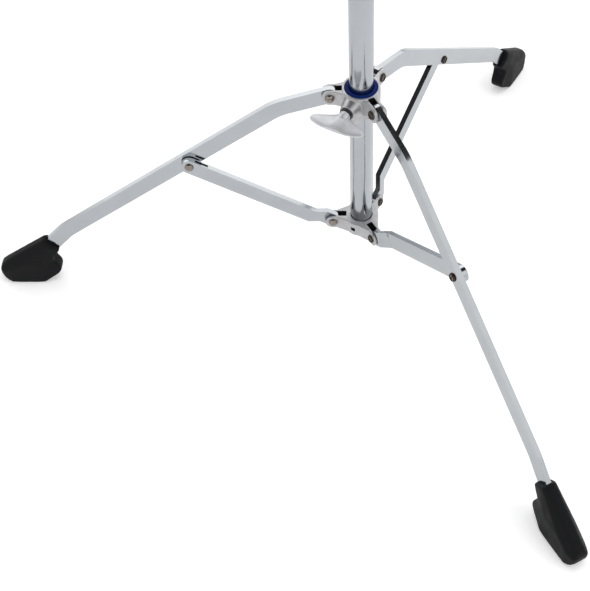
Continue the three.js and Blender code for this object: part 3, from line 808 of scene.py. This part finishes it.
def ear(half_width, height, foot_widening):
    """A pair of ears before it is slotted: rounded about its hinge, widening into the body."""
    centre = Vector((hinge_radius, 0, height))
    piece = half_disc(ear_radius, 2 * half_width, centre, math.pi)
    extrude(ear_root_radius - hinge_radius, 0, 0)
    extrude(ear_foot_radius - ear_root_radius, 0, 0)
    bpy.ops.transform.resize(value=(1, foot_widening, 1), center_override=(0, 0, height))
    close_mesh()
    return piece


def with_ears(piece, half_width, slot_from, height, foot_widening):
    """Adds three pairs of ears to a casting's body and cuts their slots."""
    for azimuth in leg_azimuths:
        fuse(piece, put(ear(half_width, height, foot_widening), Matrix.Rotation(azimuth, 4, "Z")))
    for azimuth in leg_azimuths:
        slot = block(
            (slot_from, -ear_slot / 2, height - 2 * ear_radius),
            (hinge_radius + 2 * ear_radius, ear_slot / 2, height + 2 * ear_radius))
        cut(piece, put(slot, Matrix.Rotation(azimuth, 4, "Z")))
    return piece


def turned_back(point, azimuth):
    """How far a point lies along an azimuth and across it."""
    return (point.x * math.cos(azimuth) + point.y * math.sin(azimuth),
            point.y * math.cos(azimuth) - point.x * math.sin(azimuth))


def in_ear_slot(face, slot_from):
    """Whether a face lies in the root of an ear's slot, on its end wall or its cheeks."""
    for azimuth in leg_azimuths:
        along, across = turned_back(middle_of(face), azimuth)
        if slot_from - clearance < along < hinge_radius and abs(across) < ear_slot / 2 + clearance:
            return True
    return False


def in_web_slot(face):
    """Whether a face lies inside one of the web slots."""
    spare = 0.1 * mm
    for azimuth in leg_azimuths:
        along, across = turned_back(middle_of(face), azimuth + math.pi / 3)
        if along > web_radius - web_slot_depth - spare and abs(across) < web_slot_width / 2 + spare \
                and abs(middle_of(face).z) < web_slot_height / 2 + spare:
            return True
    return False


lower_collar = drum(web_radius, -collar_half_height, collar_half_height)
with_ears(lower_collar, lower_ear_half, base_tube_radius + slot_wall, 0, lower_ear_widening)
cast(lower_collar)
for azimuth in leg_azimuths:
    web_slot = block(
        (web_radius - web_slot_depth, -web_slot_width / 2, -web_slot_height / 2),
        (web_radius + web_slot_depth, web_slot_width / 2, web_slot_height / 2))
    cut(lower_collar, put(web_slot, Matrix.Rotation(azimuth + math.pi / 3, 4, "Z")))
cut(lower_collar, drum(base_tube_radius + clearance, -ear_radius * 2, ear_radius * 2))
crisp(lower_collar)
# Faces in the ear and web slots get the near-black painted shade
painted(lower_collar, (cast_chrome, slot_shade),
        lambda face: in_ear_slot(face, base_tube_radius + slot_wall) or in_web_slot(face))
put(lower_collar, on_lower_hinge)
finished(lower_collar, "cast_lower_collar", "base", ["lower_collar"], cast_chrome)

# Upper collar
# Die-cast zinc, chromed: a barrel that slides on the base tube, with three pairs of ears for the
# legs and an arched boss in front for the wing bolt.
boss_radius = 17.7 * mm
boss_widening = 1.8
boss_rise = 1.34
upper_ear_widening = 1.7
rim_rise = 9 * mm
body_drop = 15.5 * mm
bush_flange_radius = 15.2 * mm
bush_flange_height = 2.4 * mm
bush_wall = 1.6 * mm
bush_depth = 5 * mm
pad_half_width = 7.4 * mm
pad_reach = 26 * mm
bolt_drop = 2.7 * mm
bolt_shank = 3 * mm
bolt_azimuth = first_leg_azimuth + math.pi / 3


def boss(reach, low, bolt_height):
    """The arch round a clamp bolt, from its pad in to the tube's axis, growing all the way."""
    piece = round_bar(pad_half_width, reach, (reach / 2, 0, bolt_height), along_x)
    open_mesh()
    trim((0, 0, bolt_height), (0, 0, -1))
    pick(piece, "FACE", lambda face: face.normal.z < -0.99)
    extrude(0, 0, low - bolt_height)
    pick(piece, "VERT", lambda vert: vert.co.x < reach / 2)
    bpy.ops.transform.resize(value=(1, boss_widening, boss_rise), center_override=(0, 0, low))
    close_mesh()
    return put(piece, Matrix.Rotation(bolt_azimuth, 4, "Z"))


def bush_seat(piece, tube_radius, rim):
    """Cuts the seat of a nylon bush into a casting's rim."""
    flange = bush_flange_radius + clearance - (base_tube_radius - tube_radius)
    cut(piece, drum(flange, rim - bush_flange_height - clearance, rim + body_drop))
    cut(piece, drum(tube_radius + 2 * clearance + bush_wall, rim - bush_depth - clearance, rim))


upper_collar = drum(boss_radius, collar_spacing - body_drop, collar_spacing + rim_rise)
fuse(upper_collar, boss(pad_reach, collar_spacing - body_drop, collar_spacing - bolt_drop))
with_ears(upper_collar, upper_ear_half, boss_radius, collar_spacing, upper_ear_widening)
cut(upper_collar, drum(base_tube_radius + clearance, collar_spacing - 2 * body_drop,
                       collar_spacing + 2 * body_drop))
bush_seat(upper_collar, base_tube_radius, collar_spacing + rim_rise)
cast(upper_collar)
# Faces in the ear slots get the near-black painted shade
painted(upper_collar, (cast_chrome, slot_shade), lambda face: in_ear_slot(face, boss_radius))
put(upper_collar, on_lower_hinge)
finished(upper_collar, "cast_upper_collar", "collar", ["upper_collar"], cast_chrome)

# Bushes
# Blue nylon bushes, turned from rod: a flange in the rim and a short sleeve round the tube.
# Blue nylon: deep navy with a satin face, a little lighter where the light grazes it
blue_nylon = finish(
    "turned_blue_nylon", {"Specular IOR Level": 0.08}, ("#041B4C", "#08296E"), nylon_grain,
    gloss=(0.28, 0.45), gloss_from=(0, 1), relief=(0.15, 0.03 * mm),
)


def bush(name, node, body, tube_radius, rim):
    """A flanged bush whose flange lies level with a rim."""
    inner = tube_radius + clearance
    flange = bush_flange_radius - (base_tube_radius - tube_radius)
    lip = bush_wall / 2
    piece = turned([
        (inner, rim - bush_depth), (inner + bush_wall, rim - bush_depth),
        (inner + bush_wall, rim - bush_flange_height), (flange, rim - bush_flange_height),
        (flange, rim), (flange - lip, rim + lip / 2), (inner + lip, rim + lip / 2), (inner, rim),
    ], closed=True)
    ease(piece, 0.25 * mm, segments=3, limit=20)
    put(piece, on_axis)
    return finished(piece, name, body, [node], blue_nylon)


bush("blue_collar_bush", "collar_bush", "collar", base_tube_radius, upper_hinge_height + rim_rise)

# Wing bolts
# Die-cast crescent wings on a short hub, plated and then satin finished, over a black washer. One
# in the collar's boss, one in each tube clamp and one through the tilter.
# Satin chrome over a die casting: pale, even and soft, with the fine grain of the blasting
blast_grain_size = 0.35 * mm
satin_chrome = finish(
    "satin_chromed_casting", {"Metallic": 0.8}, ("#DEDFE2", "#D4D5D9"),
    {"Scale": 1 / wave_size, "Detail": 3.0}, gloss=(0.46, 0.58),
    grain={"Scale": 1 / blast_grain_size, "Detail": 3.0}, relief=(0.2, 0.03 * mm),
)

washer_radius = 6.3 * mm
washer_thickness = 2.4 * mm
hub_radius = 5.4 * mm
hub_length = 7 * mm
wing_seat = washer_thickness + clearance
wing_rounds = 6
collar_bolt_turn = math.radians(2)

# Sections of a wing from the hub to its tip: place across, inner edge, outer edge, half thickness
wing_sections = [
    (4 * mm, 3 * mm, 26.5 * mm, 4.2 * mm),
    (9 * mm, 5.8 * mm, 26.6 * mm, 2.6 * mm),
    (17 * mm, 9.8 * mm, 25.6 * mm, 2.2 * mm),
    (24 * mm, 12.8 * mm, 23.2 * mm, 2 * mm),
    (28.2 * mm, 16.6 * mm, 19.8 * mm, 1.3 * mm),
]


def wing_bolt(shank_length):
    """A wing bolt along +X, its washer's seat at the origin, its wings along Y."""
    across, inner, outer, thick = wing_sections[0]
    piece = block((inner, 0, -thick), (outer, across, thick))
    open_mesh()
    pick(piece, "FACE", lambda face: face.normal.y < -0.9)
    bpy.ops.mesh.delete(type="FACE")
    pick(piece, "FACE", lambda face: face.normal.y > 0.9)
    for next_across, next_inner, next_outer, next_thick in wing_sections[1:]:
        extrude((next_inner + next_outer - inner - outer) / 2, next_across - across, 0)
        bpy.ops.transform.resize(
            value=((next_outer - next_inner) / (outer - inner), 1, next_thick / thick),
            center_override=((next_inner + next_outer) / 2, next_across, 0))
        across, inner, outer, thick = next_across, next_inner, next_outer, next_thick
    close_mesh()
    modify(piece, "MIRROR", use_axis=(False, True, False), use_clip=True, merge_threshold=0.01 * mm)
    modify(piece, "SUBSURF", levels=3, render_levels=3)
    hub = turned([
        (hub_radius, wing_seat), (hub_radius, wing_seat + hub_length * 0.5),
        (hub_radius * 0.85, wing_seat + hub_length), (hub_radius * 0.3, wing_seat + hub_length * 1.5),
    ], sides=48)
    join([piece, put(hub, z_to_x)])
    cast(piece, rounds=wing_rounds)
    shank = turned([(bolt_shank, -shank_length), (bolt_shank, wing_seat + hub_length)], sides=48)
    ease(shank, 0.4 * mm)
    return join([piece, put(shank, z_to_x)])


def bolt_and_washer(kind, bodies, azimuth, reach, height, turn, shank_length):
    """A wing bolt and its washer, set out from the tube's axis at an azimuth and a height."""
    station = Matrix.Translation((axis_x, axis_y, height)) @ Matrix.Rotation(azimuth, 4, "Z")
    station = station @ Matrix.Translation((reach, 0, 0))
    washer = ring(bolt_shank + clearance, washer_radius, clearance, washer_thickness, sides=64)
    ease(washer, 0.3 * mm, segments=3)
    put(put(washer, z_to_x), station)
    finished(washer, f"nylon_{kind}_washer", bodies[0], [f"{kind}_bolt_washer"],
             black_nylon)
    piece = put(wing_bolt(shank_length), station @ Matrix.Rotation(turn, 4, "X"))
    finished(piece, f"satin_{kind}_wing_bolt", bodies[1], [f"{kind}_wing_bolt"],
             satin_chrome)


bolt_and_washer("collar", ("collar", "collar_bolt"), bolt_azimuth, pad_reach,
                upper_hinge_height - bolt_drop, collar_bolt_turn,
                pad_reach - base_tube_radius - 2 * clearance)

# Boots
# Moulded black rubber boots pushed over the leg ends: a straight crowned back, a waist behind the
# mouth, and a curved sole with fine cross ribs that carry on up the toe.
boot_length = 72 * mm
boot_height = 63 * mm
boot_width = 22 * mm
boot_mouth_rise = 55.6 * mm
boot_heel_overlap = 8 * mm
boot_start = boot_mouth.x - boot_heel_overlap
boot_floor = boot_mouth.z - boot_mouth_rise
boot_margin = 10 * mm
boot_voxel = 0.8 * mm
boot_rounds = 36
rib_count = 13
rib_groove = 1.3 * mm
rib_shares = (0.3, 0.94)
toe_rise_from = 0.78
toe_rise = 2.8 * boot_height

# Side of the boot from its lip along its back to the toe, under the sole and up the heel, as
# shares of length and height
boot_back_from = (0.257, 0.985)
boot_back_to = (0.889, 0.476)
boot_side = [
    (0.22, 1), boot_back_from, boot_back_to, (0.97, 0.385), (1.005, 0.3), (1, 0.19), (0.95, 0.08),
    (0.88, 0.01), (0.78, 0), (0.42, 0), (0.34, 0.02), (0.264, 0.08), (0.125, 0.183), (0.07, 0.278),
    (0.07, 0.357), (0.104, 0.437), (0.146, 0.5), (0.16, 0.556), (0.125, 0.627), (0.0625, 0.703),
    (0.02, 0.786),
]
# Half widths seen from above, from the front and along the back, as shares of half the width.
# The other share is of the length, the height, and the height above the line of the back.
boot_plan = [
    (-0.1, 0.55), (0.05, 0.62), (0.2, 0.78), (0.36, 1), (0.84, 1), (0.96, 0.84), (1.02, 0.55),
]
boot_front = [(-0.02, 0.93), (0.08, 1), (0.48, 1), (1.02, 0.64)]
boot_crown = [(-1.5, 1), (-0.14, 1), (0.02, 0.3)]
# Each shoulder of the heel falls away: a wedge is cut off it up to the waist. Its end, as shares of
# half the width and of the height, shrinks to a point along the boot. A plane through three points,
# as shares of length, half width and height, cuts off each top corner of the toe.
heel_wedge = [(0.55, 0.5), (1.1, 0.5), (1.1, 0.2)]
heel_wedge_length = 36 * mm
toe_plane = [(1.02, 0.1, 0.4), (0.66, 1, 0.66), (1.02, 1, 0.1)]


def boot_point(along, half, up):
    """A point of the boot from its shares of length, half width and height."""
    return (boot_start + along * boot_length, half * boot_width / 2, boot_floor + up * boot_height)


def traced(points, depth):
    """A flat outline traced by extruding one vertex from point to point, filled and thickened."""
    deselect()
    bpy.ops.mesh.primitive_plane_add(size=1 * mm, location=points[0])
    piece = bpy.context.object
    settle()
    open_mesh()
    bpy.ops.mesh.merge(type="CENTER")
    for start, end in zip(points, points[1:]):
        extrude(*(Vector(end) - Vector(start)))
    bpy.ops.mesh.select_all(action="SELECT")
    bpy.ops.mesh.edge_face_add()
    extrude(*depth)
    face_outwards()
    close_mesh()
    return piece


def keep_inside(piece, limit):
    """Keeps what a piece shares with another shape."""
    return combine(piece, limit, "INTERSECT")


def both_sides(points):
    """An outline from its half: the points, and back along the other side."""
    return points + [(a, -b) for a, b in reversed(points)]


boot = traced([boot_point(along, -1, up) for along, up in boot_side], (0, boot_width, 0))
keep_inside(boot, traced([
    (boot_start + along * boot_length, half * boot_width / 2, boot_floor - boot_margin)
    for along, half in both_sides(boot_plan)
], (0, 0, boot_height + 2 * boot_margin)))
keep_inside(boot, traced([
    (boot_start - boot_margin, half * boot_width / 2, boot_floor + up * boot_height)
    for up, half in both_sides(boot_front)
], (boot_length + 2 * boot_margin, 0, 0)))
back_start, back_end = (
    Vector(boot_point(along, 0, up)) for along, up in (boot_back_from, boot_back_to)
)
crown = traced([
    (-boot_length, half * boot_width / 2, up * boot_height) for up, half in both_sides(boot_crown)
], (3 * boot_length, 0, 0))
put(crown, Matrix.Translation(back_start) @ Matrix.Rotation(-angle_of(back_start, back_end), 4, "Y"))
keep_inside(boot, crown)
for side in (1, -1):
    wedge = traced(
        [boot_point(0, side * half, up) for half, up in heel_wedge], (heel_wedge_length, 0, 0))
    open_mesh()
    pick(wedge, "VERT", lambda vert: vert.co.x > boot_start + heel_wedge_length / 2)
    half, up = heel_wedge[1]
    wedge_point = (0, side * half * boot_width / 2, boot_floor + up * boot_height)
    bpy.ops.transform.resize(value=(1, 0.02, 0.02), center_override=wedge_point)
    close_mesh()
    cut(boot, wedge)
    toe = [Vector(boot_point(along, side * half, up)) for along, half, up in toe_plane]
    take(boot)
    open_mesh()
    trim(toe[0], (toe[2] - toe[0]).cross(toe[1] - toe[0]) * side)
    close_mesh()
cast(boot, boot_voxel, boot_rounds)
pocket = block(
    (-leg_in_boot, -bar_width / 2 - clearance, -bar_height / 2 - clearance),
    (leg_in_boot + clearance, bar_width / 2 + clearance, bar_height / 2 + clearance))
cut(boot, put(pocket, Matrix.Translation(boot_mouth) @ Matrix.Rotation(-boot_angle, 4, "Y")))
for k in range(rib_count):
    rib_share = rib_shares[0] + (rib_shares[1] - rib_shares[0]) * k / (rib_count - 1)
    rib_x = boot_start + boot_length * rib_share
    rib_top = boot_floor + rib_groove + toe_rise * max(0, rib_share - toe_rise_from) ** 2
    cut(boot, block(
        (rib_x - rib_groove / 2, -boot_width, boot_floor - boot_height),
        (rib_x + rib_groove / 2, boot_width, rib_top)))
crisp(boot)
for i, piece in on_each_leg(boot):
    finished(piece, f"rubber_boot_{i}", f"leg_{i}", [f"foot_{i}"], moulded_rubber)

# Tube clamps
# Chromed die castings on the tops of the base and middle tubes. Each grips the next tube with a
# wing bolt and guides it in a blue bush.
clamp_wall = 3.6 * mm
clamp_height = 44 * mm
clamp_rim_rise = 20 * mm
clamp_bolt_drop = 13 * mm
clamp_pad_reach = 9 * mm


def tube_clamp(prefix, body, outer_radius, inner_radius):
    """A clamp with its bush, washer and wing bolt, its rim at its CAD node's top."""
    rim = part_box(f"{prefix}_clamp")[1].z
    sleeve = outer_radius + clamp_wall
    bottom = -clamp_height
    piece = turned([
        (sleeve - clamp_wall / 3, bottom), (sleeve, bottom + clamp_wall), (sleeve, 0),
    ])
    reach = sleeve + clamp_pad_reach
    fuse(piece, boss(reach, -clamp_height / 2, -clamp_bolt_drop))
    cut(piece, drum(outer_radius + clearance, bottom - clamp_wall, -clamp_rim_rise + clearance))
    cut(piece, drum(inner_radius + clearance, bottom, clamp_height))
    bush_seat(piece, inner_radius, 0)
    cast(piece)
    put(piece, Matrix.Translation((axis_x, axis_y, rim)))
    finished(piece, f"cast_{prefix}_clamp", body, [f"{prefix}_clamp"], cast_chrome)
    bush(f"blue_{prefix}_bush", f"{prefix}_bush", body, inner_radius, rim)
    bolt_and_washer(prefix, (body, f"{prefix}_bolt"), bolt_azimuth, reach, rim - clamp_bolt_drop, 0,
                    reach - inner_radius - 2 * clearance)


tube_clamp("base", "base", base_tube_radius, middle_tube_radius)
tube_clamp("middle", "middle", middle_tube_radius, top_tube_radius)

# Middle and top tubes
# 19 mm and 15.9 mm chromed tubes, each drawn out of the one below it.
tube("chromed_middle_tube", "middle_tube", "middle", middle_tube_radius)
tube("chromed_top_tube", "top_tube", "top", top_tube_radius)

# Tilter
# A cast fork on the top tube holds the flat tongue of the cymbal rod. A wing bolt through both,
# with a hexagon nut behind, sets the tilt. The rod's upper end is threaded.
fork_sleeve_height = 18 * mm
fork_half_width = 11 * mm
fork_gap_half = 5 * mm
fork_cheek_radius = 10.5 * mm
tilt_rise = 20 * mm
tilt_height = joint_places["tilter_tilt"].z
on_tilt = Matrix.Translation((axis_x, axis_y, tilt_height))
fork_sleeve = top_tube_radius + clamp_wall - clearance
fork = drum(fork_sleeve, -tilt_rise - fork_sleeve_height, -tilt_rise + clamp_wall)
cheeks = round_bar(fork_cheek_radius, 2 * fork_half_width, turn=along_y)
fuse(cheeks, block((-fork_cheek_radius, -fork_half_width, -tilt_rise),
                   (fork_cheek_radius, fork_half_width, 0)))
fuse(fork, cheeks)
cut(fork, block((-2 * fork_half_width, -fork_gap_half, -fork_cheek_radius - clearance),
                (2 * fork_half_width, fork_gap_half, 2 * fork_half_width)))
cut(fork, drum(top_tube_radius + clearance, -2 * tilt_rise, -tilt_rise + clearance))
cast(fork)
put(fork, on_tilt)
finished(fork, "cast_tilter_fork", "top", ["tilter_fork"], cast_chrome)

# Threaded chromed rod: the polished chrome, with ridges on the part above the tongue. They are twice
# as far apart as on a real 8 mm thread. A wave node has a ridge each pi / 10 of its scaled length.
ridge_spacing = 2.5 * mm
thread_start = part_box("seat_cup")[0].z + 20 * mm
threaded_chrome = polished_chrome.copy()
threaded_chrome.name = "threaded_chrome_rod"
thread_place = add_node(threaded_chrome, "ShaderNodeTexCoord")
thread_ridges = add_node(
    threaded_chrome, "ShaderNodeTexWave", {"Scale": math.pi / 10 / ridge_spacing},
    {"Vector": thread_place.outputs["Object"]}, bands_direction="Z",
)
thread_parts = add_node(
    threaded_chrome, "ShaderNodeSeparateXYZ", links={"Vector": thread_place.outputs["Object"]},
)
thread_from = add_node(
    threaded_chrome, "ShaderNodeMapRange",
    {"From Min": thread_start, "From Max": thread_start + 1 * mm, "To Min": 0.0, "To Max": 1.0},
    {"Value": thread_parts.outputs["Z"]},
)
thread_bump = add_node(
    threaded_chrome, "ShaderNodeBump", {"Distance": 0.5 * mm},
    {"Height": thread_ridges.outputs["Fac"], "Strength": thread_from.outputs["Result"]},
)
threaded_chrome.node_tree.links.new(
    thread_bump.outputs["Normal"], threaded_chrome.node_tree.nodes["Principled BSDF"].inputs["Normal"])

rod_radius = 4 * mm
rod_length = 84 * mm
rod_collar_radius = 6.5 * mm
rod_collar_length = 4 * mm
tongue_radius = 9.5 * mm
tongue_half = fork_gap_half - clearance
neck_low = fork_cheek_radius + clearance
tongue = round_bar(tongue_radius, 2 * tongue_half, turn=along_y)
fuse(tongue, block((-rod_collar_radius, -tongue_half, 0),
                   (rod_collar_radius, tongue_half, neck_low + rod_collar_length)))
fuse(tongue, turned([
    (rod_collar_radius, neck_low), (rod_collar_radius, neck_low + rod_collar_length),
    (rod_radius, neck_low + rod_collar_length), (rod_radius, rod_length),
]))
bolt_bore = drum(bolt_shank + clearance, -2 * fork_half_width, 2 * fork_half_width)
cut(tongue, put(bolt_bore, Matrix.Rotation(math.pi / 2, 4, "X")))
ease(tongue, 0.5 * mm, segments=3)
put(tongue, on_tilt)
finished(tongue, "chromed_tilter_rod", "tilter", ["tilter_rod"], threaded_chrome)

nut_height = 5 * mm
nut_radius = 5.75 * mm
nut_chamfer = 0.4 * mm
nut_face = nut_radius * 0.94
bolt_and_washer("tilter", ("top", "tilter_bolt"), -math.pi / 2, fork_half_width, tilt_height, 0,
                2 * fork_half_width + nut_height)
nut = turned([
    (nut_face, 0), (nut_radius, nut_chamfer), (nut_radius, nut_height - nut_chamfer),
    (nut_face, nut_height), (bolt_shank + clearance, nut_height), (bolt_shank + clearance, 0),
], closed=True, sides=6)
ease(nut, 0.2 * mm)
put(nut, Matrix.Translation((axis_x, axis_y + fork_half_width + clearance, tilt_height)) @ z_to_y)
finished(nut, "chromed_tilter_nut", "top", ["tilter_nut"], polished_chrome)

# Cymbal seat
# A pressed steel cup, a nylon sleeve that keeps the cymbal off the rod, two wool felts and a wing
# nut.
cup_low, cup_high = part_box("seat_cup")
seat_bore = rod_radius + clearance
cup_radius = 19 * mm
cup_rim = 1.2 * mm
cup_thickness = 2.4 * mm
cup_rise = 2 * mm
cup = turned([
    (seat_bore, cup_low.z), (cup_radius - cup_rise, cup_low.z), (cup_radius, cup_low.z + cup_rise),
    (cup_radius, cup_high.z), (cup_radius - cup_rim, cup_high.z),
    (cup_radius - cup_thickness, cup_low.z + cup_thickness), (seat_bore, cup_low.z + cup_thickness),
], closed=True)
ease(cup, 0.35 * mm, segments=3)
put(cup, on_axis)
finished(cup, "chromed_seat_cup", "tilter", ["seat_cup"], polished_chrome)

sleeve_low, sleeve_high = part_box("seat_sleeve")
sleeve_radius = seat_bore + 1.9 * mm
sleeve_flange_radius = 10 * mm
sleeve_flange_height = 2 * mm
sleeve = turned([
    (seat_bore, sleeve_low.z), (sleeve_flange_radius, sleeve_low.z),
    (sleeve_flange_radius, sleeve_low.z + sleeve_flange_height),
    (sleeve_radius, sleeve_low.z + sleeve_flange_height), (sleeve_radius, sleeve_high.z),
    (seat_bore, sleeve_high.z),
], closed=True)
ease(sleeve, 0.3 * mm)
put(sleeve, on_axis)
finished(sleeve, "nylon_seat_sleeve", "tilter", ["seat_sleeve"], black_nylon)

# Pressed wool felt: dark grey, matt, with a tangle of fibres 0.4 mm wide and a soft fuzz at its rim
fibre_size = 0.4 * mm
clump_size = 2.5 * mm
wool_felt, wool = new_material(
    "pressed_wool_felt", {"Roughness": 0.95, "Sheen Weight": 0.6, "Sheen Roughness": 0.5},
)
wool_place = {"Vector": add_node(wool_felt, "ShaderNodeTexCoord").outputs["Object"]}
fibres = add_node(
    wool_felt, "ShaderNodeTexNoise", {"Scale": 1 / fibre_size, "Detail": 5.0, "Distortion": 1.5},
    wool_place,
)
clumps = add_node(wool_felt, "ShaderNodeTexNoise", {"Scale": 1 / clump_size, "Detail": 4.0}, wool_place)
felt_mix = add_node(
    wool_felt, "ShaderNodeMath", links={0: fibres.outputs["Fac"], 1: clumps.outputs["Fac"]},
    operation="MULTIPLY",
)
felt_tone = add_node(
    wool_felt, "ShaderNodeMapRange",
    {"From Min": 0.12, "From Max": 0.4, "To Min": 0.0, "To Max": 1.0}, {"Value": felt_mix.outputs[0]},
)
felt_colour = add_node(
    wool_felt, "ShaderNodeMix", {"A": linear("#1C1C1E"), "B": linear("#4A4A4D")},
    {"Factor": felt_tone.outputs["Result"]}, data_type="RGBA",
)
felt_bump = add_node(
    wool_felt, "ShaderNodeBump", {"Strength": 0.8, "Distance": 0.3 * mm},
    {"Height": fibres.outputs["Fac"]},
)
wool_felt.node_tree.links.new(felt_colour.outputs["Result"], wool.inputs["Base Color"])
wool_felt.node_tree.links.new(felt_bump.outputs["Normal"], wool.inputs["Normal"])

felt_radius = 18.5 * mm
felt_round = 2.6 * mm
fuzz = bpy.data.textures.new("felt_fuzz", "CLOUDS")
fuzz.noise_scale = 3 * mm
for place in ("lower", "upper"):
    low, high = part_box(f"{place}_felt")
    felt = ring(sleeve_radius + clearance, felt_radius, low.z, high.z, sides=128)
    ease(felt, felt_round, segments=8)
    modify(felt, "SUBSURF", levels=1, render_levels=1)
    modify(felt, "DISPLACE", texture=fuzz, strength=0.35 * mm, mid_level=0.5, texture_coords="LOCAL")
    bpy.ops.object.shade_smooth()
    put(felt, on_axis)
    finished(felt, f"wool_{place}_felt", "tilter", [f"{place}_felt"], wool_felt)

wing_nut_radius = 7 * mm
wing_nut_height = 11 * mm
wing_nut_half_span = 19 * mm
wing_nut_blade = 4.4 * mm
wing_nut_rise = 10 * mm
wing_nut_tip = 3 * mm
wing_nut = turned([
    (wing_nut_radius, 0), (wing_nut_radius * 0.8, wing_nut_height),
], sides=64)
wing_nut_outline = [
    (wing_nut_radius * 0.5, wing_nut_height / 6),
    (wing_nut_half_span - 1.2 * wing_nut_tip, wing_nut_rise - 1.3 * wing_nut_tip),
    (wing_nut_half_span, wing_nut_rise - wing_nut_tip / 2),
    (wing_nut_half_span, wing_nut_rise + wing_nut_tip / 2),
    (wing_nut_half_span - wing_nut_tip, wing_nut_rise + wing_nut_tip),
    (wing_nut_radius * 0.5, wing_nut_height * 0.9),
]
for side in (-1, 1):
    fuse(wing_nut, traced([
        (side * across, -wing_nut_blade / 2, up) for across, up in wing_nut_outline
    ], (0, wing_nut_blade, 0)))
cut(wing_nut, drum(seat_bore, -wing_nut_height, 2 * wing_nut_height))
cast(wing_nut, rounds=wing_rounds)
put(wing_nut, Matrix.Translation((axis_x, axis_y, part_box("wing_nut")[0].z)))
finished(wing_nut, "satin_wing_nut", "seat_nut", ["wing_nut"], satin_chrome)
